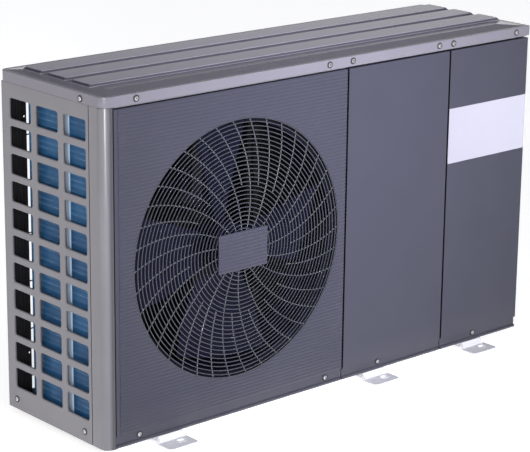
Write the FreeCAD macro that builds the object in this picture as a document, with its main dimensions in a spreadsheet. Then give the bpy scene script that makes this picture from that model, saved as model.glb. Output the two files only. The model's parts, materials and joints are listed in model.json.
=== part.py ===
"""Monobloc air-to-water heat pump unit: cabinet, coil, fan, refrigerant circuit and water circuit.

Cabinet coordinates are used throughout: x runs right from the left side face, y runs back from the
front panel face and z runs up from the underside of the base pan. Every sub-part is then placed so
that the document's origin is the middle of the footprint, on the ground, with +Z up and the front
facing -Y. All lengths are in millimetres.
"""
import FreeCAD, Part
import math
import os
import re

import Sketcher
from FreeCAD import Placement, Rotation, Vector

doc = FreeCAD.newDocument("HeatPumpUnit")

# ---------------------------------------------------------------- driving dimensions

DRIVING = [
    ("body_wide", 1288.0, "left side face to right side face"),
    ("body_deep", 363.6, "front panel face to rear face"),
    ("overall_deep", 429.0, "front to rear end of the feet"),
    ("foot_front", 50.0, "feet in front of the panel face"),
    ("foot_rise", 15.5, "ground to the underside of the base pan"),
    ("steel", 1.2, "sheet of the casing"),
    ("panel_sheet", 1.5, "sheet of the front panels and the base pan"),
    ("panel_top", 742.9, "top of the front panels"),
    ("panel_gap", 5.4, "gap between two front panels"),
    ("panel_return", 18.0, "depth of a front panel's folded edges"),
    ("gap_one", 687.4, "middle of the gap right of the fan panel"),
    ("gap_two", 1016.8, "middle of the gap right of the middle door"),
    ("fan_panel_left", 27.6, "left edge of the fan panel"),
    ("strip_top", 28.0, "top of the recessed screw strip"),
    ("strip_back", 5.0, "recess of the screw strip"),
    ("hem_radius", 4.0, "rolled bottom edge of a front panel"),
    ("pan_high", 27.0, "height of the base pan's walls"),
    ("skirt_top", 748.0, "top of the side panels and posts"),
    ("side_low", 1.0, "bottom of the side panels and posts"),
    ("post_radius", 22.0, "rounded front left corner"),
    ("side_front", 51.6, "front edge of the left side panel"),
    ("seam", 2.2, "open seam beside the corner post and below the cover"),
    ("wave_pitch", 8.0, "pitch of the horizontal waves"),
    ("wave_deep", 1.3, "height of a wave"),
    ("wave_left", 38.0, "where the waves begin"),
    ("fan_x", 370.0, "fan axis from the left side face"),
    ("fan_z", 382.0, "fan axis above the base"),
    ("opening_radius", 293.8, "round opening of the fan panel"),
    ("ring_first", 284.7, "radius of the largest ring"),
    ("ring_pitch", 9.41, "radial step from ring to ring"),
    ("wire", 2.6, "diameter of the grille wires"),
    ("dome", 8.4, "how far the middle of the grille stands out"),
    ("plate_wide", 140.0, "centre plate, width"),
    ("plate_high", 88.0, "centre plate, height"),
    ("louvre_deep", 78.0, "width of a side opening"),
    ("louvre_high", 45.0, "height of a side opening"),
    ("louvre_first", 62.0, "front edge of the first column of openings"),
    ("louvre_step", 97.5, "step from column to column"),
    ("louvre_row", 61.6, "step from row to row"),
    ("louvre_low", 53.7, "bottom edge of the lowest row"),
    ("louvre_lip", 2.4, "rounding of a side opening's outer edge"),
    ("cover_low", 749.8, "bottom edge of the cover's flange"),
    ("cover_edge", 772.0, "top edge of the cover's flange"),
    ("cover_floor", 774.2, "flat top of the cover"),
    ("cover_over", 4.0, "overhang of the cover"),
    ("cover_border", 58.0, "width of the cover's sloping border"),
    ("rib_high", 5.8, "height of a cover rib"),
    ("rib_wide", 72.0, "width of a cover rib at its foot"),
    ("rib_front", 88.0, "front foot of the first rib"),
    ("rib_step", 86.0, "step from rib to rib"),
    ("rib_left", 30.0, "left foot of the ribs"),
    ("rib_right", 1286.0, "right foot of the ribs"),
    ("foot_one", 174.0, "middle of the left foot"),
    ("foot_two", 792.0, "middle of the middle foot"),
    ("foot_three", 1130.0, "middle of the right foot"),
    ("foot_wide", 80.0, "width of a foot's flange"),
    ("foot_sheet", 2.5, "sheet of a foot"),
    ("slot_wide", 11.0, "anchor slot, width"),
    ("slot_long", 20.0, "anchor slot, overall length"),
    ("slot_front", 20.0, "front anchor slot in front of the panel face"),
    ("slot_span", 386.0, "front anchor slot to rear anchor slot"),
    ("slot_shift", 13.0, "anchor slots right of the foot's middle"),
    ("insert_low", 468.5, "bottom of the light door insert"),
    ("insert_high", 603.0, "top of the light door insert"),
    ("coil_deep", 36.0, "depth of the coil"),
    ("coil_bend", 105.0, "outer radius of the coil's bend"),
    ("coil_high", 700.0, "height of the coil"),
    ("fan_radius", 272.0, "radius over the fan's blade tips"),
    ("shroud_radius", 281.0, "inner radius of the fan shroud"),
    ("shaft_radius", 6.0, "fan shaft"),
    ("running", 0.05, "radial clearance of a shaft in its hole"),
    ("bulkhead_x", 700.0, "bulkhead between fan bay and machine bay"),
    ("pump_x", 1130.0, "pump axis from the left side face"),
    ("pump_z", 180.0, "pump axis above the base"),
    ("water_x", 1230.0, "water connections from the left side face"),
    ("water_out_z", 340.0, "water outlet above the base"),
    ("water_in_z", 180.0, "water inlet above the base"),
    ("water_y", 195.0, "front run of the water pipes"),
    ("water_tube", 28.0, "outer diameter of the water pipes"),
    ("thread_out", 33.2, "outer diameter of the G1 connection threads"),
    ("grip_front", 160.0, "front edge of the hand grip in the right side"),
    ("grip_long", 130.0, "hand grip, length"),
    ("grip_low", 590.0, "bottom edge of the hand grip"),
    ("grip_high", 50.0, "hand grip, height"),
]

dims = doc.addObject("Spreadsheet::Sheet", "Dims")
for row, (alias, number, note) in enumerate(DRIVING, start=1):
    dims.set("A%d" % row, note)
    dims.set("B%d" % row, str(number))
    dims.setAlias("B%d" % row, alias)
doc.recompute()

ALIASES = {alias for alias, _, _ in DRIVING}
RING_COUNT = 26
SPOKE_COUNT = 19
WAVE_COUNT = 89
LOUVRE_COLUMNS = 3
LOUVRE_ROWS = 11


def bound(text):
    """An expression on the sheet, written with bare aliases: "body_wide/2 - 4"."""
    return re.sub(r"[a-z_]{3,}", lambda m: "Dims." + m.group() if m.group() in ALIASES else m.group(),
                  str(text))


def value(text):
    """The number that such an expression has now."""
    return float(dims.evalExpression(bound(text)))


def drive(thing, path, text):
    thing.setExpression(path, bound(text))


# ---------------------------------------------------------------- placing and naming sub-parts

sub_parts = {}
HOME_X = "-body_wide/2"
HOME_Y = "foot_front - overall_deep/2"
HOME_Z = "foot_rise"


def finish(thing, label, at=(0, 0, 0), turn=None):
    """Gives a sub-part its label and its place; at is in cabinet coordinates."""
    thing.Label = label
    if turn is not None:
        thing.Placement = Placement(Vector(), turn)
    drive(thing, "Placement.Base.x", "%s + %s" % (at[0], HOME_X))
    drive(thing, "Placement.Base.y", "%s + %s" % (at[1], HOME_Y))
    drive(thing, "Placement.Base.z", "%s + %s" % (at[2], HOME_Z))
    sub_parts[label] = thing
    return thing


def feature(label, shape, at=(0, 0, 0), turn=None):
    """A sub-part whose shape is worked out here, from sizes read from the sheet."""
    thing = doc.addObject("Part::Feature", label)
    thing.Shape = shape
    return finish(thing, label, at, turn)


TO_FRONT = Rotation(Vector(0, 0, 1), Vector(0, -1, 0))
TO_REAR = Rotation(Vector(0, 0, 1), Vector(0, 1, 0))
TO_RIGHT = Rotation(Vector(0, 0, 1), Vector(1, 0, 0))
TO_LEFT = Rotation(Vector(0, 0, 1), Vector(-1, 0, 0))


# ---------------------------------------------------------------- Part primitives bound to the sheet

def box(x, y, z, name="Block"):
    """A Part::Box from three (low, high) pairs of expressions."""
    block = doc.addObject("Part::Box", name)
    for axis, side, (low, high) in zip("xyz", ("Length", "Width", "Height"), (x, y, z)):
        drive(block, side, "(%s) - (%s)" % (high, low))
        drive(block, "Placement.Base." + axis, low)
    return block


def rod(radius, low, high, at, along="z", name="Rod"):
    """A Part::Cylinder along x, y or z, from low to high; at gives the other two coordinates."""
    bar = doc.addObject("Part::Cylinder", name)
    drive(bar, "Radius", radius)
    drive(bar, "Height", "(%s) - (%s)" % (high, low))
    start = list(at)
    start["xyz".index(along)] = low
    bar.Placement = Placement(Vector(), {"x": TO_RIGHT, "y": TO_REAR, "z": Rotation()}[along])
    for axis, text in zip("xyz", start):
        drive(bar, "Placement.Base." + axis, text)
    return bar


def fuse(*pieces):
    joined = doc.addObject("Part::MultiFuse", "Joined")
    joined.Shapes = list(pieces)
    return joined


def cut(base, *tools):
    tool = tools[0] if len(tools) == 1 else fuse(*tools)
    result = doc.addObject("Part::Cut", "Cut")
    result.Base = base
    result.Tool = tool
    return result


def group(*pieces):
    """Separate solids that share one node."""
    together = doc.addObject("Part::Compound", "Group")
    together.Links = list(pieces)
    return together


def rounded(base, radius, test):
    """A Part::Fillet on the edges whose middle point and direction pass the test."""
    doc.recompute()
    chosen = []
    for number, edge in enumerate(base.Shape.Edges, start=1):
        middle = edge.valueAt((edge.FirstParameter + edge.LastParameter) / 2)
        if test(middle, edge):
            chosen.append((number, radius, radius))
    smooth = doc.addObject("Part::Fillet", "Rounded")
    smooth.Base = base
    smooth.Edges = chosen
    return smooth


def upright(edge):
    ends = edge.Vertexes
    return len(ends) == 2 and abs(ends[0].Z - ends[1].Z) > 0.9 * edge.Length


# ---------------------------------------------------------------- PartDesign bodies bound to the sheet

def new_body(name):
    return doc.addObject("PartDesign::Body", name)


def new_sketch(body, role, offset=0, name="Outline"):
    """A sketch on one of the body's own origin planes, moved along the plane's normal."""
    drawing = body.newObject("Sketcher::SketchObject", name)
    plane = next(part for part in body.Origin.OriginFeatures if part.Role == role)
    drawing.AttachmentSupport = (plane, [""])
    drawing.MapMode = "FlatFace"
    drive(drawing, "AttachmentOffset.Base.z", offset)
    return drawing


def pin(drawing, geometry, end, a, b, tag):
    """Holds one point of the sketch at (a, b), both expressions on the sheet."""
    for kind, text in (("DistanceX", a), ("DistanceY", b)):
        index = drawing.addConstraint(Sketcher.Constraint(kind, geometry, end, value(text)))
        label = "%s_%s" % (tag, kind[-1].lower())
        drawing.renameConstraint(index, label)
        drive(drawing, "Constraints." + label, text)


def outline(drawing, path):
    """Draws a closed outline. A point is (a, b); an arc to the next point is given by a third entry,
    its bulge: the signed sagitta of the arc, positive to the left of the way along it."""
    points = [Vector(value(p[0]), value(p[1]), 0) for p in path]
    count = len(path)
    for i, point in enumerate(path):
        start, end = points[i], points[(i + 1) % count]
        if len(point) == 2:
            drawing.addGeometry(Part.LineSegment(start, end), False)
            continue
        drawing.addGeometry(arc_between(start, end, point[2]), False)
    for i in range(count):
        following = (i + 1) % count
        a, b = joining_ends(drawing, i, following)
        drawing.addConstraint(Sketcher.Constraint("Coincident", i, a, following, b))
    for i, point in enumerate(path):
        start_end = nearest_end(drawing, i, points[i])
        pin(drawing, i, start_end, point[0], point[1], "p%d" % i)
        if len(point) == 3:
            chord = points[(i + 1) % count] - points[i]
            middle = drawing.Geometry[i].Center
            kind, at = ("DistanceX", middle.x) if abs(chord.y) > abs(chord.x) else ("DistanceY", middle.y)
            drawing.addConstraint(Sketcher.Constraint(kind, i, 3, at))


def arc_between(start, end, bulge):
    """The arc from start to end with the signed sagitta, stored counter-clockwise."""
    way = end - start
    radius = (way.Length ** 2 / 4 + bulge ** 2) / (2 * abs(bulge))
    left = Vector(-way.y, way.x, 0).normalize()
    centre = (start + end) * 0.5 + left * (bulge - math.copysign(radius, bulge))
    first, last = (end, start) if bulge > 0 else (start, end)
    angles = [math.atan2(p.y - centre.y, p.x - centre.x) for p in (first, last)]
    return Part.ArcOfCircle(Part.Circle(centre, Vector(0, 0, 1), radius), *angles)


def end_points(drawing, index):
    piece = drawing.Geometry[index]
    return piece.StartPoint, piece.EndPoint


def nearest_end(drawing, index, point):
    """1 or 2: which end of the piece lies at the point (an arc may be stored the other way round)."""
    start, end = end_points(drawing, index)
    return 1 if (start - point).Length <= (end - point).Length else 2


def joining_ends(drawing, first, second):
    """The pair of ends at which two neighbouring pieces meet."""
    pairs = [(a, b) for a in (1, 2) for b in (1, 2)]
    first_ends, second_ends = end_points(drawing, first), end_points(drawing, second)
    return min(pairs, key=lambda ab: (first_ends[ab[0] - 1] - second_ends[ab[1] - 1]).Length)


def circle(drawing, a, b, radius, tag="c"):
    index = drawing.addGeometry(Part.Circle(Vector(value(a), value(b), 0), Vector(0, 0, 1),
                                            value(radius)), False)
    pin(drawing, index, 3, a, b, tag)
    number = drawing.addConstraint(Sketcher.Constraint("Radius", index, value(radius)))
    drawing.renameConstraint(number, tag + "_radius")
    drive(drawing, "Constraints.%s_radius" % tag, radius)


def rectangle(low_a, high_a, low_b, high_b):
    return [(low_a, low_b), (high_a, low_b), (high_a, high_b), (low_a, high_b)]


def round_rectangle(low_a, high_a, low_b, high_b, radius):
    """The outline of a rectangle with quarter-round corners."""
    sag = radius * (1 - math.cos(math.pi / 4))
    r = str(radius)
    return [("%s+%s" % (low_a, r), low_b), ("%s-%s" % (high_a, r), low_b, -sag),
            (high_a, "%s+%s" % (low_b, r)), (high_a, "%s-%s" % (high_b, r), -sag),
            ("%s-%s" % (high_a, r), high_b), ("%s+%s" % (low_a, r), high_b, -sag),
            (low_a, "%s-%s" % (high_b, r)), (low_a, "%s+%s" % (low_b, r), -sag)]


PLANES = {"x": ("YZ_Plane", 1, False), "y": ("XZ_Plane", -1, True), "z": ("XY_Plane", 1, False)}


def pad(body, axis, low, high, path, kind="PartDesign::Pad", name="Pad"):
    """Pads (or pockets) an outline from low to high along x, y or z."""
    role, sign, backwards = PLANES[axis]
    drawing = new_sketch(body, role, "%d*(%s)" % (sign, low))
    outline(drawing, path) if isinstance(path, list) else path(drawing)
    solid = body.newObject(kind, name)
    solid.Profile = drawing
    drive(solid, "Length", "(%s) - (%s)" % (high, low))
    solid.Reversed = backwards if kind == "PartDesign::Pad" else not backwards
    return solid


def pocket(body, axis, low, high, path, name="Pocket"):
    return pad(body, axis, low, high, path, "PartDesign::Pocket", name)


def spun(label, path, at, turn=None, place=True):
    """A turned sub-part: the outline is (radius, height) and the body's own Z is the axis."""
    body = new_body(label)
    drawing = new_sketch(body, "XZ_Plane")
    outline(drawing, path)
    turned = body.newObject("PartDesign::Revolution", "Turned")
    turned.Profile = drawing
    turned.ReferenceAxis = (drawing, ["V_Axis"])
    turned.Angle = 360
    if place:
        return finish(body, label, at, turn)
    if turn is not None:
        body.Placement = Placement(Vector(), turn)
    for axis, text in zip("xyz", at):
        drive(body, "Placement.Base." + axis, text)
    return body


# ---------------------------------------------------------------- shapes for pipes and wires

def pipe_shape(points, diameter, bend):
    """A solid tube along straight runs that are joined by tangent arcs of one bend radius."""
    corners = [Vector(*p) for p in points]
    edges = []
    start = corners[0]
    for before, corner, after in zip(corners, corners[1:], corners[2:]):
        into = (corner - before).normalize()
        out = (after - corner).normalize()
        half_turn = into.getAngle(out) / 2
        reach = bend * math.tan(half_turn)
        first, last = corner - into * reach, corner + out * reach
        to_middle = (out - into).normalize()
        middle = corner + to_middle * (bend / math.cos(half_turn) - bend)
        edges.append(Part.LineSegment(start, first).toShape())
        edges.append(Part.Arc(first, middle, last).toShape())
        start = last
    edges.append(Part.LineSegment(start, corners[-1]).toShape())
    path = Part.Wire(edges)
    section = Part.Wire(Part.makeCircle(diameter / 2, corners[0], corners[1] - corners[0]))
    tube = path.makePipeShell([section], True, False)
    expected = math.pi * diameter ** 2 / 4 * path.Length
    assert abs(tube.Volume / expected - 1) < 0.01, "a pipe has the wrong volume"
    return tube


WIRE_SIDES = 8
BEND_SIDES = 12


def many_sided(centre, normal, radius, sides):
    """A flat regular polygon round the centre."""
    across = normal.cross(Vector(0.1, 0.2, 1)).normalize() * radius
    corners = [centre + Rotation(normal, 360.0 * i / sides).multVec(across) for i in range(sides + 1)]
    return Part.Face(Part.makePolygon(corners))


def bar_arc(start, middle, end, diameter):
    """A many-sided wire along the circular arc through three points."""
    arc = Part.Arc(start, middle, end).toShape().Curve
    centre = arc.Center
    normal = (start - centre).cross(end - centre).normalize()
    turn = (start - centre).getAngle(end - centre)
    section = many_sided(start, normal.cross(start - centre), diameter / 2, WIRE_SIDES)
    return section.revolve(centre, normal, math.degrees(turn))


# ---------------------------------------------------------------- base pan and feet

def make_base_pan():
    body = new_body("base_pan")
    pad(body, "z", "0", "pan_high", round_rectangle("3", "body_wide-3", "9", "body_deep-2.6", 8),
        name="Tray")
    pocket(body, "z", "panel_sheet", "pan_high+1",
           round_rectangle("3+panel_sheet", "body_wide-3-panel_sheet",
                           "9+panel_sheet", "body_deep-2.6-panel_sheet", 6.5), name="Inside")
    pad(body, "z", "0.5", "5", rectangle("60", "640", "60", "290"), name="RaisedFloor")
    pocket(body, "z", "-1", "5-panel_sheet", rectangle("60+panel_sheet", "640-panel_sheet",
                                                        "60+panel_sheet", "290-panel_sheet"),
           name="RaisedFloorUnderside")
    pocket(body, "z", "-1", "3", lambda d: circle(d, "600", "320", "11"), name="DrainHole")
    finish(body, "base_pan")


def make_foot(label, middle):
    body = new_body(label)
    low, high = "%s-foot_wide/2" % middle, "%s+foot_wide/2" % middle
    rear = "overall_deep-foot_front"
    top = "foot_sheet-foot_rise"
    path = [("-foot_front", "-foot_rise"), ("-4.5", "-foot_rise"), ("3.5", "-foot_sheet"),
            ("342.5", "-foot_sheet"), ("350.5", "-foot_rise"), (rear, "-foot_rise"), (rear, top),
            ("352", top), ("344", "0"), ("2", "0"), ("-6", top), ("-foot_front", top)]
    pad(body, "x", low, high, path, name="BentStrip")
    for near, far, tag in ((low, low + "+6", "Left"), (high + "-6", high, "Right")):
        pocket(body, "z", "-foot_rise-1", "1", rectangle(near, far, "-5", "351"), name="Waist" + tag)
    for near, far, tag in ((low + "+6", low + "+6+foot_sheet", "Left"),
                           (high + "-6-foot_sheet", high + "-6", "Right")):
        pad(body, "x", near, far, rectangle("8", "338", "-12", "-foot_sheet/2"), name="Lip" + tag)
    middle_x = "%s+slot_shift" % middle
    for y, tag in (("-slot_front", "Front"), ("slot_span-slot_front", "Rear")):
        def slot(grow):
            half_long = "slot_long/2+%s" % grow
            half_wide = "slot_wide/2+%s" % grow
            straight = "(slot_long-slot_wide)/2"
            bulge = -(value("slot_wide") / 2 + grow)
            return [("%s-%s" % (middle_x, straight), "%s-(%s)" % (y, half_wide)),
                    ("%s+%s" % (middle_x, straight), "%s-(%s)" % (y, half_wide), bulge),
                    ("%s+%s" % (middle_x, straight), "%s+(%s)" % (y, half_wide)),
                    ("%s-%s" % (middle_x, straight), "%s+(%s)" % (y, half_wide), bulge)]
        if tag == "Front":
            pad(body, "z", top + "-0.5", top + "+1", slot(5), name="RaisedRim")
        pocket(body, "z", "-foot_rise-1", "0", slot(0), name="Slot" + tag)
    doc.recompute()
    corners = [e for e in range(1, len(body.Shape.Edges) + 1)
               if is_foot_corner(body.Shape.Edges[e - 1], value("-foot_front"), value(rear))]
    last = body.Tip
    fillet = body.newObject("PartDesign::Fillet", "Corners")
    fillet.Base = (last, ["Edge%d" % e for e in corners])
    fillet.Radius = 9
    finish(body, label)


def is_foot_corner(edge, front, rear):
    middle = edge.CenterOfMass
    return upright(edge) and edge.Length < 3 and (abs(middle.y - front) < 0.1 or abs(middle.y - rear) < 0.1)


# ---------------------------------------------------------------- casing

def make_corner_post():
    body = new_body("corner_post")
    edge = "side_front-seam"
    right = "fan_panel_left-1.5*seam"
    r = "post_radius"
    outer_bulge = value("post_radius") * (1 - math.cos(math.pi / 4))
    inner_bulge = (value("post_radius") - value("steel")) * (1 - math.cos(math.pi / 4))
    path = [("0", edge), ("0", r, -outer_bulge), (r, "0"), (right, "0"), (right, "14"),
            (right + "-steel", "14"), (right + "-steel", "steel"), (r, "steel", inner_bulge),
            ("steel", r), ("steel", edge + "-steel"), ("12", edge + "-steel"), ("12", edge)]
    pad(body, "z", "side_low", "skirt_top", path, name="Folded")
    for corner, tag in ((rectangle("steel", "13", "side_front-4", "side_front"), "Side"),
                        (rectangle("fan_panel_left-5", "fan_panel_left", "steel", "15"), "Front")):
        pocket(body, "z", "side_low-1", "strip_top", corner, name="Clear" + tag)
    finish(body, "corner_post")


def make_top_rail():
    body = new_body("top_rail")
    low, high, roof = "panel_top+1.7*seam", "cover_low-0.9*seam", "cover_low-0.4"
    for left, right, face, tag in (("fan_panel_left", "gap_one-8", "1", "Fan"),
                                   ("gap_one-8", "body_wide-2", "3.4", "Doors")):
        pad(body, "x", left, right, [
            (face, low), (face + "+steel", low), (face + "+steel", roof + "-steel"),
            ("34", roof + "-steel"), ("34", roof), (face + "+3", roof), (face, high)],
            name="AngleAbove" + tag)
    finish(body, "top_rail")


def tray_profile(face):
    """The section of a front panel: face, recessed screw strip, rolled hem and top return."""
    t = "panel_sheet"
    hem_top = "2*hem_radius"
    back = "strip_back"
    return [("panel_return", "panel_top"), (face, "panel_top"), (face, "strip_top"), (back, "strip_top"),
            (back, hem_top, -value("hem_radius")), (back, "0"), (back + "+3", "0"), (back + "+3", t),
            (back, t, value("hem_radius") - value(t)), (back, hem_top + "-" + t),
            (back + "+" + t, hem_top + "-" + t), (back + "+" + t, "strip_top+" + t),
            ("%s+%s" % (face, t), "strip_top+" + t), ("%s+%s" % (face, t), "panel_top-" + t),
            ("panel_return", "panel_top-" + t)]


def front_tray(name, left, right, face):
    """A front panel as a folded tray."""
    body = new_body(name)
    pad(body, "x", left, right, tray_profile(face), name="Face")
    for low, high, tag in ((left, left + "+panel_sheet", "Left"), (right + "-panel_sheet", right, "Right")):
        pad(body, "x", low, high, rectangle("%s+0.5" % face, "panel_return", "strip_top+2",
                                            "panel_top-0.5"), name="Fold" + tag)
    return body


def wave_solid(left, right, low, count, crest):
    """Horizontal half-round waves, one above the other, on a thin backing."""
    pitch, deep = value("wave_pitch"), value("wave_deep")
    x, z = value(left), value(low)
    valley, back = value(crest) + deep, value(crest) + deep + 0.6
    edges = []
    for i in range(count):
        start = Vector(x, valley, z + i * pitch)
        middle = Vector(x, valley - deep, z + (i + 0.5) * pitch)
        end = Vector(x, valley, z + (i + 1) * pitch)
        edges.append(Part.Arc(start, middle, end).toShape())
    top = z + count * pitch
    corners = [Vector(x, valley, top), Vector(x, back, top), Vector(x, back, z), Vector(x, valley, z)]
    edges += [Part.LineSegment(a, b).toShape() for a, b in zip(corners, corners[1:])]
    profile = doc.addObject("Part::Feature", "WaveProfile")
    profile.Shape = Part.Face(Part.Wire(edges))
    waves = doc.addObject("Part::Extrusion", "Waves")
    waves.Base = profile
    waves.DirMode = "Custom"
    waves.Dir = Vector(1, 0, 0)
    drive(waves, "LengthFwd", "(%s) - (%s)" % (right, left))
    return waves


def make_fan_panel():
    right = "gap_one-panel_gap/2"
    tray = front_tray("FanPanelTray", "fan_panel_left", right, "wave_deep-0.3")
    waves = wave_solid("wave_left", right, "strip_top+1.4", WAVE_COUNT, "-0.3")
    opening = rod("opening_radius", "-20", "60", ("fan_x", 0, "fan_z"), "y", "Opening")
    finish(cut(fuse(tray, waves), opening), "fan_panel")


def make_doors():
    middle = front_tray("middle_door", "gap_one+panel_gap/2", "gap_two-panel_gap/2", "0")
    finish(middle, "middle_door")
    right = front_tray("right_door", "gap_two+panel_gap/2", "body_wide-0.2", "0")
    pocket(right, "y", "-1", "0.8", rectangle("gap_two+panel_gap/2-1", "body_wide+1",
                                              "insert_low", "insert_high"), name="InsertSeat")
    finish(right, "right_door")
    insert = new_body("door_insert")
    pad(insert, "y", "-0.6", "0.8", rectangle("gap_two+panel_gap/2+0.2", "body_wide-0.4",
                                              "insert_low+0.2", "insert_high-0.2"), name="Plate")
    finish(insert, "door_insert")


def frustum(x, y, z, inset_x, inset_y, name="Frustum"):
    """A Part::Wedge with a rectangular foot whose top is set in by inset_x and inset_y. The wedge
    tapers along its own Y, so it is turned to taper along Z."""
    wedge = doc.addObject("Part::Wedge", name)
    wedge.Placement = Placement(Vector(), Rotation(Vector(1, 0, 0), 90))
    far_y = y[1]
    for path, text in (("Xmin", x[0]), ("Xmax", x[1]), ("Zmin", "-(%s)" % far_y),
                       ("Zmax", "-(%s)" % y[0]), ("Ymin", z[0]), ("Ymax", z[1]),
                       ("X2min", "%s+%s" % (x[0], inset_x)), ("X2max", "%s-%s" % (x[1], inset_x)),
                       ("Z2min", "-(%s)+%s" % (far_y, inset_y)), ("Z2max", "-(%s)-%s" % (y[0], inset_y))):
        drive(wedge, path, text)
    return wedge


def cover_plan(shrink, low, high):
    """An upright block with the cover's plan: large left corners, small right corners."""
    x = ("-cover_over+%s" % shrink, "body_wide+cover_over-%s" % shrink)
    y = ("-cover_over+%s" % shrink, "body_deep+cover_over-%s" % shrink)
    block = box(x, y, (low, high), "CoverPlan")
    block = rounded(block, value("post_radius") - shrink, lambda m, e: upright(e) and m.x < 0)
    return rounded(block, 8 - shrink, lambda m, e: upright(e) and m.x > 600)


def cover_mass(shrink, low):
    """The cover's outer form, or the hollow below it when shrunk by the sheet."""
    x = ("-cover_over+%s" % shrink, "body_wide+cover_over-%s" % shrink)
    y = ("-cover_over+%s" % shrink, "body_deep+cover_over-%s" % shrink)
    edge, floor = "cover_edge-%s" % shrink, "cover_floor-%s" % shrink
    flange = box(x, y, (low, edge), "Flange")
    border = frustum(x, y, (edge + "-0.5", floor), "cover_border", "cover_border", "Border")
    pieces = [flange, border]
    for i in range(3):
        front = "rib_front+%d*rib_step+%s" % (i, shrink)
        rib = frustum(("rib_left+%s" % shrink, "rib_right-%s" % shrink),
                      (front, "%s+rib_wide-2*%s" % (front, shrink)),
                      ("cover_edge-2*%s" % shrink, "cover_floor+rib_high-%s" % shrink), 9, 5.5, "Rib")
        pieces.append(rounded(rib, 7 if not shrink else 6, lambda m, e: e.Length < 20))
    whole = doc.addObject("Part::Common", "CoverForm")
    whole.Base = fuse(*pieces)
    whole.Tool = cover_plan(shrink, low, "cover_floor+40")
    return whole


def make_top_cover():
    outside, inside = cover_mass(0, "cover_low"), cover_mass(1.2, "cover_low-5")
    finish(cut(outside, inside), "top_cover")


def make_left_side_panel():
    body = new_body("left_side_panel")
    rear = "body_deep-0.2"
    pad(body, "x", "0", "steel", rectangle("side_front", rear, "side_low", "skirt_top"), name="Sheet")
    pad(body, "x", "steel/2", "18", rectangle(rear + "-steel", rear, "side_low", "skirt_top"),
        name="RearFold")
    pad(body, "x", "steel/2", "11", rectangle("side_front+0.4", "side_front+0.4+steel", "strip_top",
                                              "skirt_top"), name="FrontFold")
    wall = "louvre_first"
    collar = pad(body, "x", "steel/2", "4.5",
                 round_rectangle(wall + "-1.2", wall + "+louvre_deep+1.2", "louvre_low-1.2",
                                 "louvre_low+louvre_high+1.2", 7.2), name="Collar")
    hole = pocket(body, "x", "-1", "8",
                  round_rectangle(wall, wall + "+louvre_deep", "louvre_low", "louvre_low+louvre_high", 6),
                  name="Louvre")
    doc.recompute()
    array = body.newObject("PartDesign::MultiTransform", "Louvres")
    array.Originals = [collar, hole]
    steps = []
    for role, step, count in (("Y_Axis", "louvre_step", LOUVRE_COLUMNS),
                              ("Z_Axis", "louvre_row", LOUVRE_ROWS)):
        line = body.newObject("PartDesign::LinearPattern", "Along" + role[0])
        line.Direction = (next(p for p in body.Origin.OriginFeatures if p.Role == role), [""])
        drive(line, "Length", "%s*%d" % (step, count - 1))
        line.Occurrences = count
        steps.append(line)
    array.Transformations = steps
    body.Tip = array
    doc.recompute()
    margin = value("side_front") + 5
    lips = [number for number, edge in enumerate(array.Shape.Edges, start=1)
            if edge.BoundBox.XMax < 0.001 and edge.BoundBox.YMin > margin
            and value(rear) - edge.BoundBox.YMax > 5 and 30 < edge.BoundBox.ZMin < value("skirt_top") - 10]
    fillet = body.newObject("PartDesign::Fillet", "Lips")
    fillet.Base = (array, ["Edge%d" % number for number in lips])
    drive(fillet, "Radius", "louvre_lip")
    finish(body, "left_side_panel")


def grip_outline(grow, radius):
    return round_rectangle("grip_front-%s" % grow, "grip_front+grip_long+%s" % grow,
                           "grip_low-%s" % grow, "grip_low+grip_high+%s" % grow, radius)


def make_right_side():
    panel = new_body("right_side_panel")
    front, rear = "panel_return+1", "body_deep-0.2"
    pad(panel, "x", "body_wide-steel", "body_wide", rectangle(front, rear, "side_low", "skirt_top"),
        name="Sheet")
    for low, tag in ((front, "Front"), (rear + "-steel", "Rear")):
        pad(panel, "x", "body_wide-16", "body_wide-steel/2",
            rectangle(low, low + "+steel", "strip_top", "skirt_top"), name=tag + "Fold")
    pocket(panel, "x", "body_wide-8", "body_wide+1", grip_outline(0, 10), name="GripOpening")
    finish(panel, "right_side_panel")

    grip = new_body("right_grip")
    pad(grip, "x", "body_wide", "body_wide+1.8", grip_outline(8, 12), name="Collar")
    pad(grip, "x", "body_wide-30", "body_wide", grip_outline(-0.4, 9.6), name="Cup")
    pocket(grip, "x", "body_wide-28", "body_wide+3", grip_outline(-2.4, 7.6), name="Hollow")
    finish(grip, "right_grip")


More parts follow.
